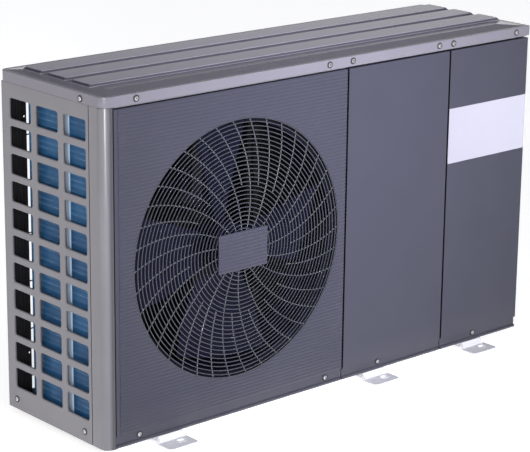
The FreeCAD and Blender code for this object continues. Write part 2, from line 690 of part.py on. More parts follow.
def make_rear_service_panel():
    body = new_body("rear_service_panel")
    left, right, rear = "bulkhead_x+3", "body_wide-17", "body_deep-0.2"
    pad(body, "y", rear + "-steel", rear, rectangle(left, right, "side_low", "skirt_top"), name="Sheet")
    for low, high, tag in ((left, left + "+steel", "Left"), (right + "-steel", right, "Right")):
        pad(body, "y", rear + "-14", rear + "-steel/2", rectangle(low, high, "side_low+45", "skirt_top"),
            name=tag + "Fold")
    pan = ("water_x-42", "water_x+34", "water_in_z-45", "water_out_z+45")
    deep = "30"
    pad(body, "y", "%s-%s" % (rear, deep), rear + "-steel/2",
        round_rectangle(*pan, 12), name="ConnectionPan")
    inner = [pan[0] + "+steel", pan[1] + "-steel", pan[2] + "+steel", pan[3] + "-steel"]
    pocket(body, "y", "%s-%s+steel" % (rear, deep), rear + "+1", round_rectangle(*inner, 10.8),
           name="PanHollow")
    for z, tag in (("water_in_z", "Inlet"), ("water_out_z", "Outlet")):
        pocket(body, "y", "%s-%s-1" % (rear, deep), rear + "-20",
               lambda d, z=z: circle(d, "water_x", z, "thread_out/2+1"), name=tag + "Hole")
    for x, radius, tag in GLANDS:
        pocket(body, "y", rear + "-3", rear + "+1",
               lambda d, x=x, radius=radius: circle(d, x, GLAND_Z, "%s+0.3" % radius), name=tag)
    for row in range(9):
        for column in range(3):
            low_x = 800 + 90 * column
            low_z = 60 + 26 * row
            pocket(body, "y", rear + "-3", rear + "+1",
                   round_rectangle(low_x, low_x + 70, low_z, low_z + 8, 3.9), name="Vent")
    finish(body, "rear_service_panel")


GLANDS = (("1150", "12.5", "MainsHole"), ("1195", "12.5", "ControlHole"), ("1240", "10", "SensorHole"))
GLAND_Z = "500"


def make_cable_glands():
    pieces = []
    for x, radius, tag in GLANDS:
        r = float(radius)
        bore = r - 4.5
        pieces.append(spun(tag + "Gland", [
            (bore, -16), (r, -16), (r, 0), (r + 5, 0), (r + 5, 7), (r + 2.5, 9), (r + 1, 14.5),
            (bore, 14.5)], (x, "body_deep-0.2", GLAND_Z), TO_REAR, place=False))
        pieces.append(spun(tag + "Nut", [(r + 0.2, -7), (r + 5, -7), (r + 5, -1.5), (r + 0.2, -1.5)],
                           (x, "body_deep-0.2", GLAND_Z), TO_REAR, place=False))
    finish(group(*pieces), "cable_glands")


def make_rear_guard():
    """Wires behind the coil: uprights outside, standing on the base pan, and crossbars inside."""
    wires = []
    for i in range(20):
        x = 40 + 34 * i
        wires.append(rod(1.2, "pan_high", "742", (x, "body_deep-3.4", 0), name="Upright"))
    for i in range(7):
        z = 60 + 112 * i
        wires.append(rod(1.5, "12", "bulkhead_x-2", (0, "body_deep-6.1", z), "x", "Crossbar"))
    finish(group(*wires), "rear_guard")


def make_rear_left_post():
    """A ribbed angle that carries the free end of the guard behind the left side panel."""
    body = new_body("rear_left_post")
    left, right, front, rear, wall = 7.4, 55.5, 341, 354, 2
    low, high = "panel_sheet", "skirt_top-0.4"
    pad(body, "z", low, high, [
        (left, front), (left + wall, front), (left + wall, rear - wall), (right, rear - wall),
        (right, rear), (left, rear)], name="Angle")
    for i in range(4):
        x = left + wall + 6 + 8 * i
        pad(body, "z", low, high, rectangle(x, x + 1.6, rear - wall - 3.5, rear - wall / 2), name="Fin")
    for z, tag in (("663", "High"), ("118", "Low")):
        pocket(body, "y", rear - wall - 1, rear + 1, lambda d, z=z: circle(d, right - 5.5, z, "2.4"),
               name="Hole" + tag)
    finish(body, "rear_left_post")


def make_bulkhead():
    body = new_body("bulkhead")
    top = "skirt_top-0.6"
    pad(body, "x", "bulkhead_x", "bulkhead_x+steel", rectangle("22", "body_deep-4.4", "panel_sheet", top),
        name="Sheet")
    pad(body, "x", "bulkhead_x+steel/2", "bulkhead_x+14", rectangle("22", "22+steel", "panel_sheet", top),
        name="FrontFold")
    for y, z, tag in ((110, 165, "LiquidHole"), (300, 490, "GasHole")):
        pocket(body, "x", "bulkhead_x-1", "bulkhead_x+3", lambda d, y=y, z=z: circle(d, y, z, 15), name=tag)
    for i in range(3):
        low = 205 + 180 * i
        pad(body, "x", "bulkhead_x+steel/2", "bulkhead_x+3", rectangle(60, 200, low, low + 10), name="Swage")
    finish(body, "bulkhead")


# ---------------------------------------------------------------- fan grille

def wire_out(radius):
    """How far a ring of this radius stands out of the panel face (y of its centre, negative)."""
    rim = value("opening_radius")
    inner = 55.0
    out = -value("dome") * (rim - radius) / (rim - inner)
    return max(out, 1.0 - value("dome"))


def spoke_angle(radius):
    """Degrees from up, clockwise from the front, by which a spoke has swept at this radius."""
    along = (radius - 100.0) / 190.0
    return 13.8 - 15.9 * along - 2.0 * along * along


def spoke_point(radius, turn):
    angle = math.radians(spoke_angle(radius) + turn)
    behind_rings = wire_out(radius) + value("wire") + 0.3
    return Vector(radius * math.sin(angle), behind_rings, radius * math.cos(angle))


def make_grille():
    rings = []
    for i in range(RING_COUNT):
        section = doc.addObject("Part::RegularPolygon", "RingSection")
        section.Polygon = WIRE_SIDES
        drive(section, "Circumradius", "wire/2")
        drive(section, "Placement.Base.x", "ring_first - %d*ring_pitch" % i)
        drive(section, "Placement.Base.y", round(wire_out(value("ring_first") - i * value("ring_pitch")), 3))
        ring = doc.addObject("Part::Revolution", "Ring")
        ring.Source = section
        ring.Axis = Vector(0, 1, 0)
        ring.Angle = 360
        ring.Solid = True
        rings.append(ring)
    hoop = spun("Hoop", [("opening_radius-2.2", "0.6"), ("opening_radius-0.4", "0.6"),
                         ("opening_radius-0.4", "3.2"), ("opening_radius+10", "3.2"),
                         ("opening_radius+10", "4.6"), ("opening_radius-2.2", "4.6")],
                (0, 0, 0), TO_REAR, place=False)
    finish(group(hoop, *rings), "grille_rings", ("fan_x", 0, "fan_z"))

    rim = value("opening_radius") - 3.0
    step = 360.0 / SPOKE_COUNT
    spokes = []
    for i in range(SPOKE_COUNT):
        for inner, turn in ((42.0, i * step), (146.0, (i + 0.5) * step)):
            middle = (inner + rim) / 2
            spokes.append(bar_arc(*(spoke_point(r, turn) for r in (inner, middle, rim)), value("wire")))
    feature("grille_spokes", Part.makeCompound(spokes), ("fan_x", 0, "fan_z"))

    half_wide, half_high = "plate_wide/2", "plate_high/2"
    crest = "-dome-2.6"
    plate = box(("fan_x-" + half_wide, "fan_x+" + half_wide), (crest + "+wave_deep", "-dome-0.4"),
                ("fan_z-" + half_high, "fan_z+" + half_high), "PlateBack")
    waves = wave_solid("fan_x-" + half_wide, "fan_x+" + half_wide, "fan_z-" + half_high, 11, crest)
    finish(fuse(plate, waves), "grille_plate")


# ---------------------------------------------------------------- fan

def make_shroud():
    inner, outer = "shroud_radius", "shroud_radius+1.5"
    spun("fan_shroud", [(inner, "18"), (inner + "+22", "8"), (inner + "+30", "8"), (inner + "+30", "9.5"),
                        (inner + "+23", "9.5"), (outer, "19"), (outer, "112"), (inner, "112")],
         ("fan_x", 0, "fan_z"), TO_REAR)


def blade_section(radius, half_span, pitch, camber, thick):
    """A thin curved section in the plane x = radius, as a closed wire."""
    def at(along, out):
        return Vector(radius, along * math.cos(pitch) - out * math.sin(pitch),
                      along * math.sin(pitch) + out * math.cos(pitch))
    front = [at(half_span * k, camber * (1 - k * k) + thick / 2) for k in (-1, -0.5, 0, 0.5, 1)]
    back = [at(half_span * k, camber * (1 - k * k) - thick / 2) for k in (1, 0.5, 0, -0.5, -1)]
    curves = []
    for side in (front, back):
        curve = Part.BSplineCurve()
        curve.interpolate(side)
        curves.append(curve.toShape())
    ends = [Part.LineSegment(front[-1], back[0]).toShape(), Part.LineSegment(back[-1], front[0]).toShape()]
    return Part.Wire([curves[0], ends[0], curves[1], ends[1]])


BLADES = 4
HUB_RADIUS = 52.0


def make_fan():
    hub = spun("Hub", [("0", "-40"), (HUB_RADIUS - 6, "-40"), (HUB_RADIUS, "-34"), (HUB_RADIUS, "34"),
                       ("0", "34")], (0, 0, 0), None, place=False)
    hollow = spun("HubHollow", [("18", "-30"), (HUB_RADIUS - 3, "-30"), (HUB_RADIUS - 3, "40"),
                                ("0", "40"), ("0", "26"), ("18", "26")], (0, 0, 0), None, place=False)
    tip = value("fan_radius")
    sections = [blade_section(42.0, 34, math.radians(38), 5, 3.6),
                blade_section(120.0, 66, math.radians(31), 9, 3.2),
                blade_section(200.0, 92, math.radians(24), 11, 2.8),
                blade_section(tip, 104, math.radians(19), 10, 2.4)]
    loft = doc.addObject("Part::Feature", "BladeLoft")
    loft.Shape = Part.makeLoft(sections, True, False)
    trimmed = doc.addObject("Part::Common", "TrimmedBlade")
    trimmed.Base = loft
    trimmed.Tool = rod("fan_radius", "-90", "90", (0, 0, 0), "z", "TipCylinder")
    doc.recompute()
    blades = []
    for i in range(BLADES):
        blade = doc.addObject("Part::Feature", "Blade")
        blade.Shape = trimmed.Shape
        blade.Placement = Placement(Vector(), Rotation(Vector(0, 0, 1), 360.0 * i / BLADES))
        blades.append(blade)
    bore = rod("shaft_radius", "-60", "60", (0, 0, 0), "z", "HubBore")
    finish(cut(fuse(hub, *blades), bore, hollow), "fan", ("fan_x", "68", "fan_z"), TO_REAR)
    finish(rod("shaft_radius", "14", "212", (0, 0, 0), "z", "Shaft"), "fan_shaft", ("fan_x", 0, "fan_z"),
           TO_REAR)
    nut = doc.addObject("Part::Prism", "HexNut")
    nut.Polygon = 6
    nut.Circumradius = 11
    nut.Height = 9
    hole = rod("shaft_radius", "-1", "12", (0, 0, 0), "z", "NutHole")
    finish(cut(nut, hole), "fan_nut", ("fan_x", "18.8", "fan_z"), TO_REAR)


MOTOR_FRONT = 158.0
MOTOR_LONG = 92.0


def make_motor():
    bore = "shaft_radius+running"
    spun("fan_motor", [(bore, 0), ("20", 0), ("20", 6), ("54", 6), ("58", 11), ("58", MOTOR_LONG - 12),
                       ("52", MOTOR_LONG), ("0", MOTOR_LONG), ("0", 56), (bore, 56)],
         ("fan_x", MOTOR_FRONT, "fan_z"), TO_REAR)
    rails = []
    rear = MOTOR_FRONT + MOTOR_LONG
    for side in (-1, 1):
        centre = "fan_x+%d" % (side * 84)
        outer = box((centre + "-15", centre + "+15"), (rear, rear + 18), ("panel_sheet+4", "skirt_top-1"),
                    "Rail")
        hollow = box((centre + "-13.5", centre + "+13.5"), (rear + 1.5, rear + 20), ("0", "skirt_top+2"),
                     "RailHollow")
        rails.append(cut(outer, hollow))
    plate = box(("fan_x-84", "fan_x+84"), (rear, rear + 1.5), ("fan_z-62", "fan_z+62"), "MotorPlate")
    window = rod(30, rear - 1, rear + 3, ("fan_x", 0, "fan_z"), "y", "Window")
    finish(cut(fuse(*rails, plate), window), "motor_bracket")


# ---------------------------------------------------------------- coil

COIL_LEFT = 14.0
COIL_FRONT = 60.0
COIL_END = 676.0


def coil_plan():
    """The L-shaped plan of the coil."""
    bend = value("coil_bend")
    deep = value("coil_deep")
    left, rear = COIL_LEFT, value("body_deep") - 8.0
    corner = (left + bend, rear - bend)
    diagonal = math.cos(math.pi / 4)

    def on_bend(radius):
        return Vector(corner[0] - radius * diagonal, corner[1] + radius * diagonal, 0)
    outer_arc = Part.Arc(Vector(left, corner[1], 0), on_bend(bend), Vector(corner[0], rear, 0)).toShape()
    inner, inner_x, inner_y = bend - deep, left + deep, rear - deep
    inner_arc = Part.Arc(Vector(corner[0], inner_y, 0), on_bend(inner),
                         Vector(inner_x, corner[1], 0)).toShape()
    lines = [Part.LineSegment(Vector(*a, 0), Vector(*b, 0)).toShape() for a, b in (
        ((left, COIL_FRONT), (left, corner[1])), ((corner[0], rear), (COIL_END, rear)),
        ((COIL_END, rear), (COIL_END, inner_y)), ((COIL_END, inner_y), (corner[0], inner_y)),
        ((inner_x, corner[1]), (inner_x, COIL_FRONT)), ((inner_x, COIL_FRONT), (left, COIL_FRONT)))]
    return Part.Wire([lines[0], outer_arc, lines[1], lines[2], lines[3], inner_arc, lines[4], lines[5]])


COIL_BASE = 16.0
TUBE_STEP = 25.0


def make_coil():
    plan = doc.addObject("Part::Feature", "CoilPlan")
    plan.Shape = Part.Face(coil_plan())
    plan.Placement = Placement(Vector(0, 0, COIL_BASE), Rotation())
    fins = doc.addObject("Part::Extrusion", "Fins")
    fins.Base = plan
    fins.DirMode = "Custom"
    fins.Dir = Vector(0, 0, 1)
    drive(fins, "LengthFwd", "coil_high")
    finish(fins, "coil_fins")

    deep = "coil_deep"
    front = box((COIL_LEFT, "%s+%s" % (COIL_LEFT, deep)), (COIL_FRONT - 1.5, COIL_FRONT),
                (COIL_BASE, "%s+coil_high" % COIL_BASE), "FrontPlate")
    end = box((COIL_END, COIL_END + 1.5), ("body_deep-8-" + deep, "body_deep-8"),
              (COIL_BASE, "%s+coil_high" % COIL_BASE), "EndPlate")
    strap = box((COIL_LEFT - 1.2, COIL_LEFT - 0.1), ("135", "151"), ("40", "710"), "Strap")
    finish(group(front, end, strap), "coil_end_plates")

    bends = []
    for row in range(27):
        z = COIL_BASE + 22 + TUBE_STEP * row
        for column in (0, 1):
            if row % 2 != column:
                continue
            x = COIL_LEFT + 9 + 18 * column
            y = value("body_deep") - 8 - 9 - 18 * column
            bends.append(half_loop(Vector(x, COIL_FRONT - 1.5, z), Vector(0, -1, 0)))
            bends.append(half_loop(Vector(COIL_END + 1.5, y, z), Vector(1, 0, 0)))
    feature("coil_return_bends", Part.makeCompound(bends))


def half_loop(start, out):
    """A return bend: a half-round tube from start up to the next tube, bulging along out."""
    centre = start + Vector(0, 0, TUBE_STEP / 2)
    return many_sided(start, out, 4.8, BEND_SIDES).revolve(centre, out.cross(Vector(0, 0, 1)), 180)


# ---------------------------------------------------------------- refrigerant circuit

COMPRESSOR = (840.0, 215.0)
ACCUMULATOR = (742.0, 245.0)
VALVE_Z = 430.0


def make_compressor():
    x, y = COMPRESSOR
    shell = spun("Shell", [(0, 50), (44, 50), (56, 56), (60, 66), (60, 330), (56, 341), (40, 349),
                           (14, 352), (14, 358), (0, 358)], (x, y, 0), None, place=False)
    places = []
    for turn in (90, 210, 330):
        angle = math.radians(turn)
        places.append((x + 92 * math.cos(angle), y + 92 * math.sin(angle), 0))
    foot = spun("FootPlate", [(0, 44), (108, 44), (108, 47.5), (0, 47.5)], (x, y, 0), None, place=False)
    holes = [rod(6.5, 40, 55, at, "z", "FootHole") for at in places]
    terminals = rod(17, 345, 362, (x + 30, y - 12, 0), "z", "TerminalCover")
    finish(fuse(shell, cut(foot, *holes), terminals), "compressor")
    mounts, bolts = [], []
    for at in places:
        mounts.append(spun("Rubber", [(4.3, 1.5), (16, 1.5), (14, 12), (16, 22), (14, 32), (16, 44),
                                      (6.2, 44), (6.2, 48), (4.3, 48)], at, None, place=False))
        bolts.append(spun("MountBolt", [(0, 1.5), (4, 1.5), (4, 49), (11, 49), (11, 50.6), (7, 50.6),
                                        (7, 57), (4, 57), (4, 61), (0, 61)], at, None, place=False))
    finish(group(*mounts), "compressor_mounts")
    finish(group(*bolts), "compressor_bolts")
    ax, ay = ACCUMULATOR
    spun("accumulator", [(0, 120), (12, 120), (26, 126), (32, 138), (32, 306), (26, 318), (12, 324),
                         (0, 324)], (ax, ay, 0))


def make_valves():
    x, y = COMPRESSOR
    body = rod(16, x - 55, x + 55, (0, y, VALVE_Z), "x", "ValveBody")
    caps = rod(12, x - 62, x + 62, (0, y, VALVE_Z), "x", "ValveCaps")
    ports = [rod(9.6, VALVE_Z, VALVE_Z + 22, (x + step, y, 0), "z", "Port") for step in (-30, 0, 30)]
    ports.append(rod(9.6, VALVE_Z - 22, VALVE_Z, (x, y, 0), "z", "DischargePort"))
    solenoid = rod(19, y - 62, y - 26, (x, 0, VALVE_Z), "y", "Solenoid")
    stem = rod(7, y - 30, y - 8, (x, 0, VALVE_Z), "y", "Stem")
    finish(fuse(body, caps, *ports, solenoid, stem), "four_way_valve")

    spun("expansion_valve", [(0, 118), (8, 118), (8, 140), (13, 140), (13, 184), (9, 184), (9, 192), (22, 192),
                             (22, 226), (8, 226), (8, 232), (0, 232)], (965, 200, 0))


def make_exchanger():
    block = box((940, 1052), (252, 346), (50, 376), "PlatePack")
    grooves = []
    for i in range(13):
        y = 259 + 6.4 * i
        for x in ((938, 941.2), (1050.8, 1054)):
            grooves.append(box(x, (y, y + 2.4), (56, 370), "Groove"))
    ports = [rod(16, 244, 253, (px, 0, pz), "y", "Port") for px in (965, 1027) for pz in (90, 340)]
    finish(fuse(cut(block, *grooves), *ports), "plate_exchanger")


def make_refrigerant_pipes():
    x, y = COMPRESSOR
    ax, ay = ACCUMULATOR
    top = VALVE_Z + 22.3
    pipes = [
        pipe_shape([(x, y, 358.3), (x, y, VALVE_Z - 22.3)], 12.7, 20),
        pipe_shape([(x - 30, y, top), (x - 30, y, 490), (x - 30, 300, 490), (666, 300, 490)], 16, 26),
        pipe_shape([(x, y, top), (x, y, 532), (ax, ay, 532), (ax, ay, 324.3)], 16, 30),
        pipe_shape([(x + 30, y, top), (x + 30, y, 490), (965, y, 490), (965, y, 390), (965, 190, 390),
                    (965, 190, 340), (965, 243.7, 340)], 16, 12),
        pipe_shape([(965, 243.7, 90), (965, 200, 90), (965, 200, 117.7)], 9.5, 13),
        pipe_shape([(951.7, 200, 162), (928, 200, 162), (928, 110, 165), (672, 110, 165), (672, 296, 165)],
                   9.5, 18),
        pipe_shape([(ax, ay, 119.7), (ax, ay, 82), (782.0, 232.8, 82)], 16, 17),
    ]
    header_x = 653.7
    pipes.append(pipe_shape([(header_x, 300, 80), (header_x, 300, 600)], 22, 30))
    for z in range(100, 600, 50):
        pipes.append(pipe_shape([(header_x, 311.4, z), (header_x, 319.3, z)], 9.5, 10))
    feature("refrigerant_pipes", Part.makeCompound(pipes))


# ---------------------------------------------------------------- water circuit

def make_pump():
    x, z = "pump_x", "pump_z"
    y = value("water_y")
    volute = spun("Volute", [(0, 30), (40, 30), (46, 24), (46, -30), (35, -30), (35, 24), (0, 24)],
                  (x, y, z), TO_REAR, place=False)
    ports = rod(19, "pump_x-60", "pump_x+60", (0, y, z), "x", "Ports")
    hollow = rod(35, y - 40, y + 24, (x, 0, z), "y", "VoluteHollow")
    finish(cut(fuse(volute, ports), hollow), "pump_body")
    spun("pump_motor", [(0, -116), (26, -116), (26, -112), (40, -112), (43, -106), (43, -42), (46, -40),
                        (46, -30.2), (3 + 0.05, -30.2), (3 + 0.05, -60), (0, -60)], (x, y, z), TO_REAR)
    spun("pump_impeller", [(0, -58), (3, -58), (3, -26), (30, -26), (30, -23), (9, -20), (9, 14), (0, 14)],
         (x, y, z), TO_REAR)


def make_water():
    y, x = value("water_y"), value("water_x")
    out_z, in_z, pump = value("water_out_z"), value("water_in_z"), value("pump_x")
    rear = value("body_deep") - 33
    tube = value("water_tube")
    runs = [
        pipe_shape([(1027, 243.7, out_z), (1027, y, out_z), (x, y, out_z), (x, rear, out_z)], tube, 30),
        pipe_shape([(x, rear, in_z), (x, y, in_z), (pump + 60.3, y, in_z)], tube, 30),
        pipe_shape([(pump - 60.3, y, in_z), (1027, y, in_z), (1027, y, 90), (1027, 243.7, 90)], tube, 26),
    ]
    feature("water_pipes", Part.makeCompound(runs))
    fittings = []
    for z in ("water_in_z", "water_out_z"):
        thread = "thread_out/2"
        fitting = spun("Fitting", [("11", 0), ("16", 0), ("16", 4.2), ("22", 4.2), ("22", 12), (thread, 12),
                                   (thread, 44), ("11", 44)], ("water_x", rear + 0.3, z), TO_REAR, place=False)
        fittings.append(fitting)
    finish(group(*fittings), "water_connectors")

    top = out_z + tube / 2
    spun("air_vent", [(0, 0), (9, 0), (9, 12), (19, 16), (19, 62), (14, 68), (6, 68), (6, 76), (0, 76)],
         (1120, y, top))
    switch = spun("SwitchStem", [(0, 0), (12, 0), (12, 14), (8, 14), (8, 22), (0, 22)], (1075, y, top), None,
                  place=False)
    case = box((1057, 1093), (y - 16, y + 16), (top + 20, top + 62), "SwitchCase")
    finish(fuse(switch, rounded(case, 4, lambda m, e: upright(e))), "flow_switch")

    front = y - tube / 2
    valve_x = 1185.0
    body = spun("ReliefBody", [(0, 0), (11, 0), (11, 12), (16, 12), (16, 34), (12, 34), (12, 44), (4.05, 44),
                               (4.05, 30), (0, 30)], (valve_x, front, out_z), TO_FRONT, place=False)
    outlet = rod(9, out_z - 34, out_z - 8, (valve_x, front - 22, 0), "z", "ReliefOutlet")
    finish(fuse(body, outlet), "safety_valve")
    knob = spun("Knob", [(0, 31), (4, 31), (4, 44.4), (17, 44.4), (18.5, 47), (18.5, 60), (16, 63), (0, 63)],
                (0, 0, 0), None, place=False)
    flutes = []
    for i in range(8):
        angle = 2 * math.pi * i / 8
        flutes.append(rod(3.2, 43, 66, (20.5 * math.cos(angle), 20.5 * math.sin(angle), 0), "z", "Flute"))
    finish(cut(knob, *flutes), "safety_valve_knob", (valve_x, front, out_z), TO_FRONT)

    gauge_x = 1142.0
    case = spun("GaugeCase", [(0, 0), (7, 0), (7, 16), (25, 16), (26, 18), (26, 32), (23.5, 32), (23.5, 24),
                              (1.05, 24), (1.05, 20), (0, 20)], (0, 0, 0), None, place=False)
    finish(case, "pressure_gauge", (gauge_x, front, out_z), TO_FRONT)
    needle = box((-1, 1), (-6, 18), (25.2, 26.2), "Pointer")
    hub = rod(3, 25.2, 28, (0, 0, 0), "z", "PointerHub")
    pivot = rod(1, 20.5, 26, (0, 0, 0), "z", "PointerPivot")
    finish(fuse(needle, hub, pivot), "gauge_needle", (gauge_x, front, out_z), TO_FRONT)

    vessel = spun("VesselOutside", [(0, 0), (40, 4), (76, 20), (88, 42), (88, 158), (91, 160), (91, 168),
                                    (88, 170), (88, 248), (76, 270), (40, 286), (0, 290)], (0, 0, 0),
                  place=False)
    room = spun("VesselInside", [(0, 2), (39, 6), (74.5, 21.5), (86, 42.5), (86, 247.5), (74.5, 268.5),
                                 (39, 284), (0, 288)], (0, 0, 0), place=False)
    finish(cut(vessel, room), "expansion_vessel", (1150, 250, 442))


# ---------------------------------------------------------------- electrical parts

BOX_X = (716.0, 1270.0)
BOX_Y = (30.0, 132.0)
BOX_Z = (478.0, 738.0)


def make_electrics():
    x, y, z = BOX_X, BOX_Y, BOX_Z
    shell = box(x, y, z, "ElectricShell")
    inside = box((x[0] + 1.5, x[1] - 1.5), (y[0] - 1, y[1] - 1.5), (z[0] + 1.5, z[1] - 1.5), "ElectricInside")
    window = box((800, 960), (y[1] - 5, y[1] + 5), (520, 680), "SinkWindow")
    finish(cut(shell, inside, window), "electric_box")

    sink_base = box((802, 958), (y[1] - 8, y[1] + 2), (522, 678), "SinkBase")
    fins = [box((804 + 7.6 * i, 806 + 7.6 * i), (y[1] + 1.9, y[1] + 34), (524, 676), "SinkFin")
            for i in range(21)]
    finish(fuse(sink_base, *fins), "heat_sink")

    power_y = y[1] - 20
    board = box((770, 985), (power_y - 1.6, power_y), (505, 700), "PowerPlate")
    tall = [rod(15, power_y - 46, power_y - 1.6, (px, 0, 665), "y", "Capacitor") for px in (800, 836, 872)]
    blocks = [box((lo, lo + w), (power_y - h, power_y - 1.6), (zz, zz + t), "Block") for lo, w, h, zz, t in (
        (790, 44, 26, 520, 36), (850, 30, 20, 520, 30), (900, 60, 32, 560, 44), (900, 40, 24, 640, 40),
        (800, 56, 18, 585, 36))]
    choke_core = box((730, 764), (y[1] - 58, y[1] - 4), (500, 560), "ChokeCore")
    coil = rod(22, y[1] - 72, y[1] - 4, (747, 0, 600), "y", "ChokeCoil")
    board_parts = fuse(board, *tall, *blocks)
    finish(group(board_parts, choke_core, coil), "power_board")

    control = box((1010, 1250), (power_y - 1.6, power_y), (560, 720), "ControlPlate")
    chips = [box((lo, lo + w), (power_y - h, power_y - 1.6), (zz, zz + t), "Part") for lo, w, h, zz, t in (
        (1030, 26, 5, 600, 26), (1080, 18, 14, 670, 30), (1104, 18, 14, 670, 30), (1128, 18, 14, 670, 30),
        (1160, 60, 12, 690, 14), (1100, 40, 22, 590, 32), (1170, 14, 10, 600, 60), (1195, 14, 10, 600, 60),
        (1225, 12, 10, 580, 80), (1030, 30, 16, 650, 24))]
    finish(fuse(control, *chips), "control_board")

    rail = box((1010, 1250), (power_y + 2, power_y + 4), (500, 540), "TerminalRail")
    blocks = [box((1016 + 15 * i, 1029 + 15 * i), (power_y - 34, power_y + 2.1), (502, 538), "Terminal")
              for i in range(15)]
    screws = [rod(3.6, power_y - 36, power_y - 30, (1022.5 + 15 * i, 0, zz), "y", "TerminalScrew")
              for i in range(15) for zz in (511, 529)]
    finish(fuse(rail, *blocks, *screws), "terminal_block")


# ---------------------------------------------------------------- screws

def screw(at, turn, shank=9):
    """A pan-head screw with a washer face; its own Z points out of the panel."""
    return spun("Screw", [(0, -shank), (2, -shank), (2, 0), (6.4, 0), (6.4, 0.8), (5, 0.8), (4.6, 1.8),
                          (3, 2.5), (0, 2.8)], at, turn, place=False)


def make_screws():
    strip = 18.0
    y = value("strip_back")
    flange = -value("cover_over")
    cabinet = [screw((x, y, strip), TO_FRONT) for x in (91.5, 636.5)]
    cabinet += [screw((x, flange, 761), TO_FRONT) for x in (82, 625, 696, 974, 1021, 1240)]
    cabinet += [screw((flange, 72, 759), TO_LEFT), screw(("body_wide+cover_over", 72, 759), TO_RIGHT)]
    cabinet += [screw((xx, "body_deep+cover_over", 761), TO_REAR) for xx in (60, 440, 860, 1230)]
    cabinet += [screw((0, yy, 25), TO_LEFT) for yy in (78, 331)]
    cabinet += [screw(("body_wide", yy, 25), TO_RIGHT) for yy in (60, 331)]
    cabinet += [screw((xx, "body_deep-0.2", zz), TO_REAR) for xx in (718, 1256) for zz in (25, 380, 735)]
    finish(group(*cabinet), "cabinet_screws")
    finish(group(screw((807, y, strip), TO_FRONT, 3.5)), "middle_door_screw")
    finish(group(screw((1136, y, strip), TO_FRONT, 3.5)), "right_door_screw")


def make_drain():
    spun("drain_spigot", [(8, 6), (17, 6), (17, 1.5), (10.9, 1.5), (10.9, -1), (10.5, -1), (10.5, -12),
                          (8, -12)], (600, 320, 0))


# ---------------------------------------------------------------- the unit

make_base_pan()
for foot_label, foot_middle in (("foot_left", "foot_one"), ("foot_middle", "foot_two"),
                                ("foot_right", "foot_three")):
    make_foot(foot_label, foot_middle)
make_corner_post()
make_top_rail()
make_fan_panel()
make_doors()
make_top_cover()
make_left_side_panel()
make_right_side()
make_rear_service_panel()
make_cable_glands()
make_rear_guard()
make_rear_left_post()
make_bulkhead()
make_grille()
make_shroud()
make_fan()
make_motor()
make_coil()
make_compressor()
make_valves()
make_exchanger()
make_refrigerant_pipes()
make_pump()
make_water()
make_electrics()
make_screws()
make_drain()


# ---------------------------------------------------------------- checking and writing

doc.recompute()
failed = [o.Name + " (" + o.Label + ")" for o in doc.Objects if set(o.State) & {"Invalid", "Error"}]
assert not failed, "failed objects: " + ", ".join(failed)
os.makedirs("parts", exist_ok=True)
for label, sub_part in sub_parts.items():
    shape = sub_part.Shape
    assert not shape.isNull() and shape.isValid() and shape.Solids, "bad shape: " + label
    shape.exportStep("parts/%s.step" % label)
print(len(sub_parts), "sub-parts written")
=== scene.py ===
"""Looks of the heat pump unit: procedural materials, the finned coil, small fittings, light and camera."""

import json
import math

import bmesh
import bpy
from mathutils import Matrix, Vector


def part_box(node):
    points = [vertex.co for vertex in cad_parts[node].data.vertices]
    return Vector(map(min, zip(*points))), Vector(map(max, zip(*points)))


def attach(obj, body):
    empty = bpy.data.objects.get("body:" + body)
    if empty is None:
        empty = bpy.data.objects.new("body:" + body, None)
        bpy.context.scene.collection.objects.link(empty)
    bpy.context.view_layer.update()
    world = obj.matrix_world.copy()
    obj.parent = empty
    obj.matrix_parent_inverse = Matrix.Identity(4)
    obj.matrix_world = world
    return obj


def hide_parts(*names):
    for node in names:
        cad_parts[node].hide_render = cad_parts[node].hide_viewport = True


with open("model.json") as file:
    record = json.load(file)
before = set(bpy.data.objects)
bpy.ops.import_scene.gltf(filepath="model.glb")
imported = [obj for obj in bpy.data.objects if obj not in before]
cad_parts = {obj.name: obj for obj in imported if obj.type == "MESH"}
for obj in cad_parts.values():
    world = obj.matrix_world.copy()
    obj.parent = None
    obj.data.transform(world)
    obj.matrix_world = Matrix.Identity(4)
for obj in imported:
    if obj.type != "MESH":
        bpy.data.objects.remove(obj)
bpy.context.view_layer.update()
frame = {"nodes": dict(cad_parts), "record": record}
MM = 0.001

# ---------------------------------------------------------------- material building blocks


